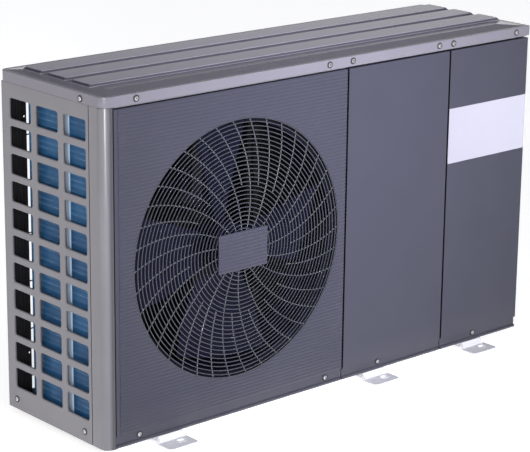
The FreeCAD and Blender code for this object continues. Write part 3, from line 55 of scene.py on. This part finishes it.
class Look:
    """One Principled material and the node chains that feed it. Patterns are in metres on the object."""

    def __init__(self, name, rough=0.5, metal=0.0, **sockets):
        self.material = bpy.data.materials.new(name)
        self.material.use_nodes = True
        self.tree = self.material.node_tree
        self.shader = next(n for n in self.tree.nodes if n.type == "BSDF_PRINCIPLED")
        self.shader.inputs["Roughness"].default_value = rough
        self.shader.inputs["Metallic"].default_value = metal
        for socket, number in sockets.items():
            self.shader.inputs[socket.replace("_", " ")].default_value = number
        self.place = self.node("ShaderNodeTexCoord").outputs["Object"]
        self.normal = None

    @classmethod
    def resume(cls, material):
        """Goes on with a finished material."""
        look = cls.__new__(cls)
        look.material, look.tree = material, material.node_tree
        look.shader = next(n for n in look.tree.nodes if n.type == "BSDF_PRINCIPLED")
        look.place = look.node("ShaderNodeTexCoord").outputs["Object"]
        return look

    def blend(self, name, factor, other):
        """Fades one socket of the shader towards another value where the factor is 1."""
        socket = self.shader.inputs[name]
        before = socket.links[0].from_socket if socket.is_linked else socket.default_value
        self.link(self.mix(factor, *(self.as_tone(term) for term in (before, other))), socket)

    @staticmethod
    def as_tone(term):
        return (term, term, term) if isinstance(term, float) else term

    def node(self, kind, **settings):
        made = self.tree.nodes.new(kind)
        for key, setting in settings.items():
            setattr(made, key, setting)
        return made

    def link(self, source, target):
        self.tree.links.new(source, target)

    def stretched(self, scale):
        """The coordinates with each axis scaled, for brushed or streaked patterns."""
        mapping = self.node("ShaderNodeMapping")
        mapping.inputs["Scale"].default_value = scale
        self.link(self.place, mapping.inputs["Vector"])
        return mapping.outputs["Vector"]

    def noise(self, scale, detail=2.0, grain=0.5, stretch=None):
        made = self.node("ShaderNodeTexNoise")
        made.inputs["Scale"].default_value = scale
        made.inputs["Detail"].default_value = detail
        made.inputs["Roughness"].default_value = grain
        self.link(self.stretched(stretch) if stretch else self.place, made.inputs["Vector"])
        return made.outputs["Fac"]

    def cells(self, scale, feature="F1", output="Distance"):
        made = self.node("ShaderNodeTexVoronoi", feature=feature)
        made.inputs["Scale"].default_value = scale
        self.link(self.place, made.inputs["Vector"])
        return made.outputs[output]

    def math(self, operation, a, b=None, clamp=False):
        made = self.node("ShaderNodeMath", operation=operation, use_clamp=clamp)
        for socket, term in zip(made.inputs, (a, b)):
            if term is None:
                continue
            if isinstance(term, (int, float)):
                socket.default_value = term
            else:
                self.link(term, socket)
        return made.outputs[0]

    def along(self, axis):
        split = self.node("ShaderNodeSeparateXYZ")
        self.link(self.place, split.inputs[0])
        return split.outputs[axis]

    def ramp(self, factor, *stops):
        made = self.node("ShaderNodeValToRGB")
        points = made.color_ramp.elements
        while len(points) < len(stops):
            points.new(0.5)
        for point, (position, tone) in zip(points, stops):
            point.position = position
            point.color = tuple(tone) + (1,) if not isinstance(tone, (int, float)) else (tone, tone, tone, 1)
        self.link(factor, made.inputs["Fac"])
        return made.outputs["Color"]

    def mix(self, factor, a, b, blend="MIX"):
        made = self.node("ShaderNodeMix", data_type="RGBA", blend_type=blend)
        for socket, term in ((made.inputs["Factor"], factor), (made.inputs[6], a), (made.inputs[7], b)):
            if isinstance(term, bpy.types.NodeSocket):
                self.link(term, socket)
            elif isinstance(term, (int, float)):
                socket.default_value = term
            else:
                socket.default_value = tuple(term)[:3] + (1,)
        return made.outputs[2]

    def colour(self, source):
        self.link(source, self.shader.inputs["Base Color"])
        return self

    def rough(self, factor, low, high):
        spread = self.node("ShaderNodeMapRange")
        spread.inputs["To Min"].default_value = low
        spread.inputs["To Max"].default_value = high
        self.link(factor, spread.inputs["Value"])
        self.link(spread.outputs[0], self.shader.inputs["Roughness"])
        return self

    def bump(self, height, strength, distance):
        """Adds relief; distance is its height in metres."""
        made = self.node("ShaderNodeBump")
        made.inputs["Strength"].default_value = strength
        made.inputs["Distance"].default_value = distance
        self.link(height, made.inputs["Height"])
        if self.normal is not None:
            self.link(self.normal, made.inputs["Normal"])
        self.normal = made.outputs["Normal"]
        self.link(self.normal, self.shader.inputs["Normal"])
        return self


def shade(tone, factor):
    return tuple(min(1.0, c * factor) for c in tone)


def paint(name, tone, rough=0.45, peel=0.6, dust_and_reflection=0.0, **sockets):
    """Powder-coated finish: orange peel, slight mottling, a little dusty brown tint low down and in streaks,
    also a painted floor reflection.
    """
    look = Look(name, rough, **sockets)
    mottle = look.noise(9, 4, 0.6)
    base = look.mix(look.ramp(mottle, (0.35, 0), (0.7, 1)), shade(tone, 0.97), shade(tone, 1.03))
    speck = look.ramp(look.noise(2600, 1), (0.62, 0), (0.72, 1))
    base = look.mix(look.math("MULTIPLY", speck, 0.05), base, shade(tone, 1.4))
    # dusty tint towards the bottom, which is also a painted reflection of the floor on the lower edges
    if dust_and_reflection:
        low = look.ramp(look.along(2), (0.0, 1), (0.10, 0))
        streak = look.noise(5, 3, 0.6, (3, 3, 0.6))
        dust_and_reflection_share = look.math("MULTIPLY", look.math("MULTIPLY", low, streak), dust_and_reflection)
        base = look.mix(dust_and_reflection_share, base, (0.42, 0.37, 0.31))
    look.colour(base)
    look.rough(look.noise(25, 3), rough - 0.03, rough + 0.04)
    return look.bump(look.noise(900, 2, 0.5), 0.12 * peel, 0.0001).material


def moulded(name, tone, rough=0.5, grain=900, **sockets):
    """Moulded plastic: fine spark-eroded grain, faint flow marks."""
    look = Look(name, rough, **sockets)
    flow = look.noise(14, 3, 0.6, (1, 1, 2.5))
    look.colour(look.mix(look.ramp(flow, (0.3, 0), (0.75, 1)), shade(tone, 0.86), shade(tone, 1.16)))
    look.rough(look.noise(120, 3), rough - 0.08, rough + 0.1)
    return look.bump(look.cells(grain), 0.35, 0.0002).material


def galvanised(name, tone, rough=0.42, spangle=95):
    """Zinc-coated sheet: spangle in large soft crystals, lighter hazy patches."""
    look = Look(name, rough, 0.85)
    crystal = look.cells(spangle, output="Color")
    grey = look.node("ShaderNodeRGBToBW")
    look.link(crystal, grey.inputs[0])
    base = look.mix(grey.outputs[0], shade(tone, 0.84), shade(tone, 1.10))
    haze = look.ramp(look.noise(22, 5, 0.65), (0.45, 0), (0.75, 1))
    look.colour(look.mix(look.math("MULTIPLY", haze, 0.35), base, shade(tone, 1.22)))
    look.rough(grey.outputs[0], rough - 0.09, rough + 0.12)
    return look.bump(look.noise(900, 2), 0.15, 0.0001).material


def machined(name, tone, rough=0.3, stretch=(1, 1, 30), metal=1.0):
    """Turned, drawn or brushed metal with fine lines and a slight tarnish."""
    look = Look(name, rough, metal)
    lines = look.noise(180, 3, 0.6, stretch)
    tarnish = look.ramp(look.noise(30, 4, 0.65), (0.4, 0), (0.72, 1))
    base = look.mix(lines, shade(tone, 0.86), shade(tone, 1.1))
    look.colour(look.mix(look.math("MULTIPLY", tarnish, 0.55), base, shade(tone, 0.55)))
    look.rough(lines, rough - 0.08, rough + 0.14)
    return look.bump(lines, 0.12, 0.0001).material


def painted_shade_between(material, low_x, high_x):
    """Painted shade: near black, matt and not metallic on whatever lies between two upright planes, such as
    those of the fan bay.
    """
    look = Look.resume(material)
    x = look.along(0)
    in_shade = look.math("MULTIPLY", look.math("GREATER_THAN", x, low_x), look.math("LESS_THAN", x, high_x))
    shade_tone = look.mix(look.noise(40, 3), (0.0035, 0.0035, 0.0055), (0.0065, 0.0065, 0.010))
    for socket, black in (("Base Color", shade_tone), ("Metallic", 0.0), ("Roughness", 0.65)):
        look.blend(socket, in_shade, black)
    return material


def painted_shading(material, tone, axis, start, end):
    """Painted light and shade: another tone that comes in between two places along one axis."""
    look = Look.resume(material)
    share = look.math("DIVIDE", look.math("SUBTRACT", look.along(axis), start), end - start, clamp=True)
    look.blend("Base Color", share, tone)
    return material


def cast(name, tone, rough=0.5):
    look = Look(name, rough, 0.2)
    grain = look.noise(420, 4, 0.7)
    worn = look.ramp(look.noise(18, 5, 0.6), (0.55, 0), (0.8, 1))
    base = look.mix(grain, shade(tone, 0.8), shade(tone, 1.2))
    look.colour(look.mix(look.math("MULTIPLY", worn, 0.4), base, shade(tone, 1.9)))
    look.rough(grain, rough - 0.1, rough + 0.15)
    return look.bump(grain, 0.6, 0.0005).material


def circuit(name):
    """Green solder mask with copper tracks under it."""
    look = Look(name, 0.35, Coat_Weight=0.3)
    track = look.ramp(look.cells(210, "DISTANCE_TO_EDGE"), (0.0, 1), (0.06, 0))
    pad = look.ramp(look.cells(380), (0.0, 1), (0.16, 0))
    base = look.mix(track, (0.006, 0.055, 0.026), (0.016, 0.115, 0.050))
    look.colour(look.mix(look.math("MULTIPLY", pad, 0.8), base, (0.62, 0.60, 0.52)))
    return look.bump(track, 0.3, 0.0002).material


CAN_HIGH = 44 * MM


def populated(material, face_y, plate_x):
    """Black components wherever something stands off the board's face or beside its plate."""
    look = Look.resume(material)
    off_face = look.math("LESS_THAN", look.along(1), face_y)
    off_plate = look.math("LESS_THAN", look.along(0), plate_x)
    body = look.mix(look.noise(300, 2), (0.010, 0.010, 0.012), (0.022, 0.022, 0.026))
    look.blend("Base Color", look.math("MAXIMUM", off_face, off_plate), body)
    can = look.math("LESS_THAN", look.along(1), face_y - CAN_HIGH)
    look.blend("Base Color", can, look.mix(look.noise(90, 2), (0.52, 0.52, 0.54), (0.62, 0.62, 0.64)))
    look.blend("Metallic", can, 1.0)
    return material


def blue_fins(name, centre, middle_radius):
    """Edges of blue coated fins; thin pale lines at the tube rows are a painted glint of the tubes between
    them.
    On the inner half of the coil's depth, facing into the unit, the fins are near black: painted shade."""
    look = Look(name, 0.42, 0.15, Coat_Weight=0.25)
    row = look.math("FRACT", look.math("MULTIPLY", look.along(2), 1 / 0.0125))
    tube_glint = look.ramp(row, (0.0, 1), (0.10, 0.25), (0.2, 0))
    broken = look.ramp(look.noise(20, 3, 0.6, (1, 1, 9)), (0.42, 0), (0.66, 1))
    haze = look.ramp(look.noise(7, 3, 0.5), (0.3, 0), (0.7, 1))
    base = look.mix(haze, (0.012, 0.062, 0.157), (0.026, 0.119, 0.262))
    dark = look.ramp(row, (0.35, 0), (0.65, 1), (0.9, 0.2))
    base = look.mix(look.math("MULTIPLY", dark, 0.35), base, (0.006, 0.03, 0.08))
    # painted glint of the tubes along the tube rows
    outer = look.mix(look.math("MULTIPLY", tube_glint, look.math("MULTIPLY", broken, 0.8)), base,
                     (0.20, 0.40, 0.55))
    aside = look.math("MAXIMUM", look.math("SUBTRACT", centre[0], look.along(0)), 0.0)
    behind = look.math("MAXIMUM", look.math("SUBTRACT", look.along(1), centre[1]), 0.0)
    away = look.math("SQRT", look.math("ADD", look.math("POWER", aside, 2.0),
                                       look.math("POWER", behind, 2.0)))
    inner = look.math("LESS_THAN", away, middle_radius)
    # painted shade: the inner half of the coil is near black
    look.colour(look.mix(inner, outer, (0.0035, 0.005, 0.012)))
    return look.bump(row, 0.3, 0.0004).material


X, Y, Z = 0, 1, 2
GREY = (0.124, 0.120, 0.133)
COVER_GREY = (0.124, 0.117, 0.142)
SLATE = (0.0315, 0.0320, 0.0475)
FIN_DEEP = 36 * MM
FIN_BEND = 105 * MM
# x of the upright planes that bound the painted shade: FAN_BAY for inner steel and copper, END_PLATES for
# the end plates
FAN_BAY = (-0.60, 0.0566)
END_PLATES = (-0.45, 0.5)
# distances from the corner post's right edge where its painted shade begins and where it is full
POST_SHADE_START, POST_SHADE_END = 14 * MM, 6 * MM
# depths below the rib tops where the painted shade of the rib sides comes in, then where the painted
# highlight of the rib tops comes in
RIB_SIDE_FOOT, RIB_SIDE_START = 5.4 * MM, 4.6 * MM
RIB_EDGE, RIB_FLAT = 1.4 * MM, 0.5 * MM
BOARD_THICK = 1.8 * MM
CHOKE_WIDE = 42 * MM

fins_low, fins_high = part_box("coil_fins")
bend_centre = (fins_low.x + FIN_BEND, fins_high.y - FIN_BEND)
board_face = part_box("control_board")[1].y - BOARD_THICK
plate_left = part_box("power_board")[0].x + CHOKE_WIDE
insert_left, insert_right = (corner.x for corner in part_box("door_insert"))
post_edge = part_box("corner_post")[1].x
rib_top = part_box("top_cover")[1].z

looks = {
    "casing_grey": paint("casing_grey", GREY, 0.15, 0.4, dust_and_reflection=0.05),
    "panel_slate": paint("panel_slate", SLATE, 0.42, dust_and_reflection=0.06, Specular_IOR_Level=0.34),
    # painted light: the insert grows lighter towards its right end
    "insert_white": painted_shading(paint("insert_white", (0.258, 0.252, 0.298), 0.30, 0.25, Coat_Weight=0.3),
                          (0.345, 0.338, 0.400), X, insert_left, insert_right),
    "grille_black": paint("grille_black", (0.018, 0.021, 0.028), 0.20, 0.3, Coat_Weight=0.5),
    "foot_galvanised": paint("foot_galvanised", (0.56, 0.56, 0.60), 0.36, 0.4, dust_and_reflection=0.10),
    "base_steel": galvanised("base_steel", (0.33, 0.33, 0.34), 0.5),
    # painted shade: the inner steel is near black within the fan bay
    "inner_steel": painted_shade_between(galvanised("inner_steel", (0.60, 0.61, 0.62)), *FAN_BAY),
    "guard_wire": paint("guard_wire", (0.07, 0.07, 0.075), 0.35, 0.3, Coat_Weight=0.3),
    "post_black": moulded("post_black", (0.016, 0.016, 0.018), 0.45),
    # painted shade on the coil's inner half and painted glint along its tube rows
    "coil_blue": blue_fins("coil_blue", bend_centre, FIN_BEND - FIN_DEEP / 2),
    # painted shade: the copper is near black within the fan bay
    "copper": painted_shade_between(machined("copper", (0.80, 0.40, 0.25), 0.26, (1, 1, 6)), *FAN_BAY),
    # painted shade: the end plates are near black between the END_PLATES planes
    "plate_light": painted_shade_between(paint("plate_light", (0.31, 0.39, 0.50), 0.35, 0.4), *END_PLATES),
    "fan_plastic": moulded("fan_plastic", (0.0050, 0.0055, 0.0160), 0.5, Specular_IOR_Level=0.12),
    "shroud_plastic": moulded("shroud_plastic", (0.0038, 0.0038, 0.0105), 0.55, Specular_IOR_Level=0.12),
    "motor_shell": cast("motor_shell", (0.008, 0.008, 0.010)),
    "shaft_steel": machined("shaft_steel", (0.58, 0.58, 0.60), 0.24, (40, 1, 40)),
    "compressor_black": paint("compressor_black", (0.018, 0.018, 0.02), 0.30, 0.8, Coat_Weight=0.3),
    "rubber_mount": moulded("rubber_mount", (0.02, 0.02, 0.02), 0.75, 500),
    "screw_zinc": machined("screw_zinc", (0.72, 0.72, 0.74), 0.26, (6, 6, 6)),
    "valve_brass": machined("valve_brass", (0.78, 0.58, 0.28), 0.28, (4, 30, 4)),
    "exchanger_steel": machined("exchanger_steel", (0.62, 0.61, 0.59), 0.30, (30, 30, 1)),
    "pump_cast": cast("pump_cast", (0.07, 0.10, 0.16)),
    "pump_plastic": moulded("pump_plastic", (0.03, 0.035, 0.05), 0.4),
    "vessel_red": paint("vessel_red", (0.42, 0.02, 0.016), 0.3, 0.8, Coat_Weight=0.3),
    "knob_red": moulded("knob_red", (0.52, 0.02, 0.015), 0.38),
    "gauge_case": moulded("gauge_case", (0.02, 0.02, 0.02), 0.3),
    "gauge_needle": moulded("gauge_needle", (0.5, 0.04, 0.02), 0.4),
    "board_green": populated(circuit("board_green"), board_face, plate_left),
    "aluminium_fin": machined("aluminium_fin", (0.78, 0.79, 0.81), 0.34, (1, 1, 30)),
    "terminal_grey": moulded("terminal_grey", (0.42, 0.44, 0.46), 0.48),
    "gland_black": moulded("gland_black", (0.02, 0.02, 0.022), 0.42),
}

# painted shade: the sides of the cover's ribs are darker
rib_side_shade = painted_shading(paint("cover_grey", COVER_GREY, 0.15, 0.4, dust_and_reflection=0.05), (0.040, 0.037, 0.050),
                  Z, rib_top - RIB_SIDE_FOOT, rib_top - RIB_SIDE_START)
look_of = {part["node"]: looks[part["material_slot"]] for part in frame["record"]["subparts"]}
look_of.update({
    # painted shade: the corner post darkens towards its right edge
    "corner_post": painted_shading(paint("corner_post", GREY, 0.24, 0.2, dust_and_reflection=0.02), (0.045, 0.043, 0.050),
                         X, post_edge - POST_SHADE_START, post_edge - POST_SHADE_END),
    # painted highlight: the tops of the cover's ribs are lighter
    "top_cover": painted_shading(rib_side_shade, (0.180, 0.170, 0.208), Z, rib_top - RIB_EDGE, rib_top - RIB_FLAT),
    # painted highlight: the spokes are a lighter copy of the grille's dark colour
    "grille_spokes": paint("spoke_highlight_grey", (0.070, 0.075, 0.086), 0.18, 0.3, Coat_Weight=0.6),
})
for name, node in frame["nodes"].items():
    for slot in node.material_slots:
        slot.material = look_of[name]

# ---------------------------------------------------------------- sheet-metal edges

ROUNDED = {"top_cover": 0.8, "fan_panel": 0.25, "middle_door": 0.5, "right_door": 0.5, "door_insert": 0.3,
           "left_side_panel": 0.35, "right_side_panel": 0.35, "rear_service_panel": 0.35,
           "corner_post": 0.35, "foot_left": 0.6, "foot_middle": 0.6, "foot_right": 0.6,
           "grille_plate": 0.25, "right_grip": 0.6}
for name, width in ROUNDED.items():
    node = frame["nodes"][name]
    weld = node.modifiers.new("JoinFaces", "WELD")
    weld.merge_threshold = 0.02 * MM
    bevel = node.modifiers.new("EdgeRound", "BEVEL")
    bevel.width = width * MM
    bevel.segments = 2
    bevel.limit_method = "ANGLE"
    bevel.angle_limit = math.radians(40)

# ---------------------------------------------------------------- finned coil


def piece(name, mesh, slot, body="cabinet", material=None):
    made = bpy.data.objects.new(name, mesh)
    bpy.context.scene.collection.objects.link(made)
    mesh.materials.append(material or looks[slot])
    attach(made, body)
    return made


def mesh_of(name, points, faces):
    mesh = bpy.data.meshes.new(name)
    mesh.from_pydata(points, [], faces)
    mesh.validate()
    shell = bmesh.new()
    shell.from_mesh(mesh)
    bmesh.ops.recalc_face_normals(shell, faces=shell.faces)
    shell.to_mesh(mesh)
    shell.free()
    return mesh


BOX_FACES = ((0, 1, 2, 3), (4, 7, 6, 5), (0, 4, 5, 1), (1, 5, 6, 2), (2, 6, 7, 3), (3, 7, 4, 0))
FIN_PITCH = 2.4 * MM
FIN_THICK = 0.9 * MM


def coil_stations(low, high):
    """Middle and outward direction of each fin along the coil's L-shaped plan."""
    half = FIN_DEEP / 2
    side_x, rear_y = low.x + half, high.y - half
    bend_x, bend_y = low.x + FIN_BEND, high.y - FIN_BEND
    radius = FIN_BEND - half
    runs = [bend_y - low.y, radius * math.pi / 2, high.x - bend_x]
    total = sum(runs)
    count = int(total / FIN_PITCH)
    for i in range(count):
        s = (i + 0.5) * total / count
        if s < runs[0]:
            yield Vector((side_x, low.y + s, 0)), Vector((-1, 0, 0))
        elif s < runs[0] + runs[1]:
            turn = (s - runs[0]) / radius
            out = Vector((-math.cos(turn), math.sin(turn), 0))
            yield Vector((bend_x, bend_y, 0)) + out * radius, out
        else:
            yield Vector((bend_x + s - runs[0] - runs[1], rear_y, 0)), Vector((0, 1, 0))


points, faces = [], []
for middle, out in coil_stations(fins_low, fins_high):
    across = Vector((-out.y, out.x, 0)) * FIN_THICK / 2
    for z in (fins_low.z, fins_high.z):
        for side, end in ((-1, -1), (-1, 1), (1, 1), (1, -1)):
            points.append(middle + across * side + out * (end * FIN_DEEP / 2) + Vector((0, 0, z)))
    base = len(points) - 8
    faces += [tuple(base + i for i in face) for face in BOX_FACES]
fins = piece("coil_fin_pack", mesh_of("coil_fin_pack", points, faces), "coil_blue")
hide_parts("coil_fins")

# a near-black sheet along the middle of the coil: painted shade, a dark sheet that stops light passing
# through the fin gaps
SHADE_SHEET_HALF = 1.0 * MM
FINS_PER_SHADE_SHEET_STEP = 6
shade_sheet_stations = list(coil_stations(fins_low, fins_high))[::FINS_PER_SHADE_SHEET_STEP]
points, faces = [], []
for middle, out in shade_sheet_stations:
    for side, z in ((-1, fins_low.z), (1, fins_low.z), (1, fins_high.z), (-1, fins_high.z)):
        points.append(middle + out * (side * SHADE_SHEET_HALF) + Vector((0, 0, z)))
for i in range(len(shade_sheet_stations) - 1):
    a, b = 4 * i, 4 * i + 4
    faces += [(a + k, a + (k + 1) % 4, b + (k + 1) % 4, b + k) for k in range(4)]
faces += [(0, 3, 2, 1), tuple(4 * len(shade_sheet_stations) - 4 + k for k in range(4))]
shade_sheet_look = moulded("coil_shade_sheet", (0.003, 0.006, 0.014), 0.6, Specular_IOR_Level=0.2)
piece("coil_shade_sheet", mesh_of("coil_shade_sheet", points, faces), "coil_blue", material=shade_sheet_look)

# ---------------------------------------------------------------- screw heads

# a dark ring at the rim of each screw head
# inner and outer radius, lower and upper face above the panel
DARK_HEAD_RING = (4.8 * MM, 7.6 * MM, 0.82 * MM, 1.25 * MM)
# dark crossed bars: painted shade in the recess of each cross-head screw
# half length and half width of a bar, lower and upper face above the panel
RECESS = (2.5 * MM, 0.45 * MM, 2.1 * MM, 2.79 * MM)
RING_SIDES = 20
SCREW_HEAD = 2.8 * MM


def islands(node):
    """The separate lumps of a node's mesh, as lists of points in the model's frame."""
    shell = bmesh.new()
    shell.from_mesh(node.data)
    shell.transform(node.matrix_world)
    bmesh.ops.remove_doubles(shell, verts=shell.verts, dist=0.01 * MM)
    waiting = set(shell.verts)
    while waiting:
        lump, edge = set(), [waiting.pop()]
        while edge:
            vertex = edge.pop()
            lump.add(vertex)
            near = {e.other_vert(vertex) for e in vertex.link_edges} & waiting
            waiting -= near
            edge += near
        yield [v.co.copy() for v in lump]
    shell.free()


def screw_places(node):
    """Where each screw of a node sits on its panel, and which way its head looks."""
    for points in islands(node):
        low = Vector([min(p[k] for p in points) for k in range(3)])
        high = Vector([max(p[k] for p in points) for k in range(3)])
        seat, size = (low + high) / 2, high - low
        axis = 0 if size.x < size.y else 1
        out = Vector((0, 0, 0))
        out[axis] = math.copysign(1, seat[axis])
        seat[axis] = (high if out[axis] > 0 else low)[axis] - out[axis] * SCREW_HEAD
        yield seat, out


def ring(seat, out, inner, outer, low, high):
    """A flat ring round the screw's axis."""
    across = Vector((-out.y, out.x, 0))
    corners = []
    for i in range(RING_SIDES):
        turn = 2 * math.pi * i / RING_SIDES
        spoke = across * math.cos(turn) + Vector((0, 0, math.sin(turn)))
        corners += [seat + spoke * r + out * h for r, h in ((inner, low), (outer, low), (outer, high),
                                                            (inner, high))]
    quads = []
    for i in range(RING_SIDES):
        a, b = 4 * i, 4 * ((i + 1) % RING_SIDES)
        quads += [(a + k, a + (k + 1) % 4, b + (k + 1) % 4, b + k) for k in range(4)]
    return corners, quads


def cross(seat, out, long, half, low, high):
    """Two crossed dark bars: painted shade in the recess of a cross-head screw."""
    across, upward = Vector((-out.y, out.x, 0)), Vector((0, 0, 1))
    corners, quads = [], []
    for a, b in ((across + upward, across - upward), (across - upward, across + upward)):
        a, b = a.normalized() * long, b.normalized() * half
        start = len(corners)
        for h in (low, high):
            corners += [seat + out * h + a * i + b * j for i, j in ((-1, -1), (1, -1), (1, 1), (-1, 1))]
        quads += [tuple(start + i for i in face) for face in BOX_FACES]
    return corners, quads


def join(shapes):
    points, faces = [], []
    for corners, quads in shapes:
        start = len(points)
        points += corners
        faces += [tuple(start + i for i in quad) for quad in quads]
    return points, faces


# dark rings at the rims of the screw heads, and painted shade in their recesses
for name, body in (("cabinet_screws", "cabinet"), ("middle_door_screw", "middle_door_body"),
                   ("right_door_screw", "right_door_body")):
    places = list(screw_places(frame["nodes"][name]))
    piece(name + "_dark_rings", mesh_of(name + "_dark_rings", *join(ring(*at, *DARK_HEAD_RING) for at in places)),
          "rubber_mount", body)
    piece(name + "_recesses", mesh_of(name + "_recesses", *join(cross(*at, *RECESS) for at in places)),
          "rubber_mount", body)

# ---------------------------------------------------------------- dark strips in the gaps of the casing: painted shade


GAP_SHADE_THICK = 0.5 * MM
GAP_SHADE_CLEAR = 0.02 * MM
GAP_SHADE_FROM_HEM = 31 * MM
GAP_SHADE_FROM_TOP = 1.5 * MM
DOOR_GAP_SHADE = (0.9 * MM, 17.0 * MM)
FAN_PANEL_GAP_SHADE = (1.9 * MM, 18.0 * MM)
SIDE_GAP_SHADE_WIDE = 10.5 * MM
SIDE_GAP_SHADE_THICK = 0.55 * MM


def block(low, high):
    plan = ((low[0], low[1]), (high[0], low[1]), (high[0], high[1]), (low[0], high[1]))
    return [(x, y, z) for z in (low[2], high[2]) for x, y in plan], BOX_FACES


def left_gap_shade(node, front, rear):
    """A dark strip on the left fold of a panel, from front to rear behind its face: painted shade in the
    gap.
    """
    low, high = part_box(node)
    return block((low.x - GAP_SHADE_THICK, low.y + front, low.z + GAP_SHADE_FROM_HEM),
                 (low.x - GAP_SHADE_CLEAR, low.y + rear, high.z - GAP_SHADE_FROM_TOP))


def side_gap_shade():
    """A dark strip on the front fold of the left side panel, beside the corner post: painted shade in the
    gap.
    """
    low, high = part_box("left_side_panel")
    return block((low.x + 0.5 * MM, low.y - SIDE_GAP_SHADE_THICK, low.z + 2 * MM),
                 (low.x + SIDE_GAP_SHADE_WIDE, low.y - GAP_SHADE_CLEAR, high.z - 1 * MM))


# near-black material of the strips: painted shade in the gaps
gap_shade_look = moulded("gap_shade_strip", (0.004, 0.004, 0.006), 0.8, 1500, Specular_IOR_Level=0.1)
for name, body in (("middle_door", "middle_door_body"), ("right_door", "right_door_body")):
    gap_shade_mesh = mesh_of(name + "_gap_shade", *left_gap_shade(name, *DOOR_GAP_SHADE))
    piece(name + "_gap_shade", gap_shade_mesh, "rubber_mount", body, gap_shade_look)
casing_gap_shades = join((left_gap_shade("fan_panel", *FAN_PANEL_GAP_SHADE), side_gap_shade()))
piece("casing_gap_shades", mesh_of("casing_gap_shades", *casing_gap_shades), "rubber_mount", "cabinet", gap_shade_look)

# ---------------------------------------------------------------- floor, light, camera

FLOOR_HALF = 9
FLOOR_GLOW = 0.42
VIEW_AZIMUTH = math.radians(41.50)
VIEW_DOWN = math.radians(16.22)
VIEW_ROLL = math.radians(0.64)
CAMERA_AT = (-3.0632, -3.3982, 1.6932)
LENS_LENGTH = 138.37
SENSOR_WIDE = 36
TENT_LEVEL = 0.74
BAND_GAIN = 0.42
FLAG_LOSS = 0.66

scene = bpy.context.scene
floor_corners = [(x * FLOOR_HALF, y * FLOOR_HALF, 0) for x, y in ((-1, -1), (1, -1), (1, 1), (-1, 1))]
floor_mesh = mesh_of("floor", floor_corners, [(0, 1, 2, 3)])
floor = bpy.data.objects.new("floor", floor_mesh)
scene.collection.objects.link(floor)
floor_look = Look("floor_pale", 0.85)
floor_look.colour(floor_look.mix(floor_look.noise(3), (0.93, 0.93, 0.935), (0.95, 0.95, 0.955)))
floor_look.shader.inputs["Emission Color"].default_value = (1, 1, 1, 1)
floor_look.shader.inputs["Emission Strength"].default_value = FLOOR_GLOW
floor_mesh.materials.append(floor_look.material)

world = bpy.data.worlds.new("studio")
world.use_nodes = True
tree = world.node_tree
background = tree.nodes["Background"]
scene.world = world


def world_math(operation, a, b):
    made = tree.nodes.new("ShaderNodeMath")
    made.operation = operation
    for socket, term in zip(made.inputs, (a, b)):
        if isinstance(term, float):
            socket.default_value = term
        else:
            tree.links.new(term, socket)
    return made.outputs[0]


def world_step(source, *stops):
    made = tree.nodes.new("ShaderNodeValToRGB")
    points = made.color_ramp.elements
    while len(points) < len(stops):
        points.new(0.5)
    for point, (position, level) in zip(points, stops):
        point.position, point.color = position, (level, level, level, 1)
    tree.links.new(source, made.inputs["Fac"])
    return made.outputs["Color"]


# a bright tent with a brighter band low behind the object and a dark flag above that band
direction = tree.nodes.new("ShaderNodeSeparateXYZ")
tree.links.new(tree.nodes.new("ShaderNodeTexCoord").outputs["Generated"], direction.inputs[0])
behind = world_math("ADD", world_math("MULTIPLY", direction.outputs[0], math.sin(VIEW_AZIMUTH)),
                    world_math("MULTIPLY", direction.outputs[1], math.cos(VIEW_AZIMUTH)))
sector = world_step(behind, (0.25, 0.0), (0.45, 1.0))
height = direction.outputs[2]
band = world_math("MULTIPLY", sector, world_step(height, (0.165, 1.0), (0.19, 0.0)))
flag = world_math("MULTIPLY", sector,
                  world_step(height, (0.17, 0.0), (0.20, 1.0), (0.80, 1.0), (0.90, 0.0)))
level = world_math("ADD", TENT_LEVEL, world_math("MULTIPLY", band, BAND_GAIN))
tree.links.new(world_math("SUBTRACT", level, world_math("MULTIPLY", flag, FLAG_LOSS)),
               background.inputs["Strength"])
background.inputs["Color"].default_value = (0.97, 0.975, 1.0, 1)
scene.view_settings.view_transform = "Standard"


def softbox(name, at, towards, wide, high, power, tone, spread=180, mirrored=True):
    lamp = bpy.data.lights.new(name, "AREA")
    lamp.shape = "RECTANGLE"
    lamp.size, lamp.size_y = wide, high
    lamp.energy = power
    lamp.color = tone
    lamp.spread = math.radians(spread)
    holder = bpy.data.objects.new(name, lamp)
    holder.location = at
    holder.visible_glossy = mirrored
    holder.rotation_euler = (Vector(towards) - Vector(at)).to_track_quat("-Z", "Y").to_euler()
    scene.collection.objects.link(holder)


softbox("strip", (-3.6, -3.5, 1.2), (-0.6, -0.1, 0.4), 0.35, 2.2, 48, (1, 0.99, 0.98))
softbox("spark", (-3.44, -3.26, 1.41), (-0.29, -0.2, 0.40), 0.20, 0.20, 34, (1, 0.99, 0.98))
softbox("front", (0.0, -3.3, 1.5), (0.0, -0.2, 0.66), 0.8, 0.6, 13.8, (0.90, 0.92, 1), 38, False)
softbox("side", (-4.2, 0.3, 0.9), (-0.6, 0, 0.4), 1.4, 1.8, 62, (1, 0.99, 0.97), 180, False)
right = Vector((math.cos(VIEW_AZIMUTH), -math.sin(VIEW_AZIMUTH), 0))
ahead = Vector((math.sin(VIEW_AZIMUTH) * math.cos(VIEW_DOWN),
                math.cos(VIEW_AZIMUTH) * math.cos(VIEW_DOWN), -math.sin(VIEW_DOWN)))
up = right.cross(ahead)
right, up = (right * math.cos(VIEW_ROLL) + up * math.sin(VIEW_ROLL),
             up * math.cos(VIEW_ROLL) - right * math.sin(VIEW_ROLL))
lens = bpy.data.cameras.new("camera")
lens.lens = LENS_LENGTH
lens.sensor_width = SENSOR_WIDE
camera = bpy.data.objects.new("camera", lens)
camera.matrix_world = Matrix((right, up, -ahead)).transposed().to_4x4()
camera.location = CAMERA_AT
scene.collection.objects.link(camera)
scene.camera = camera
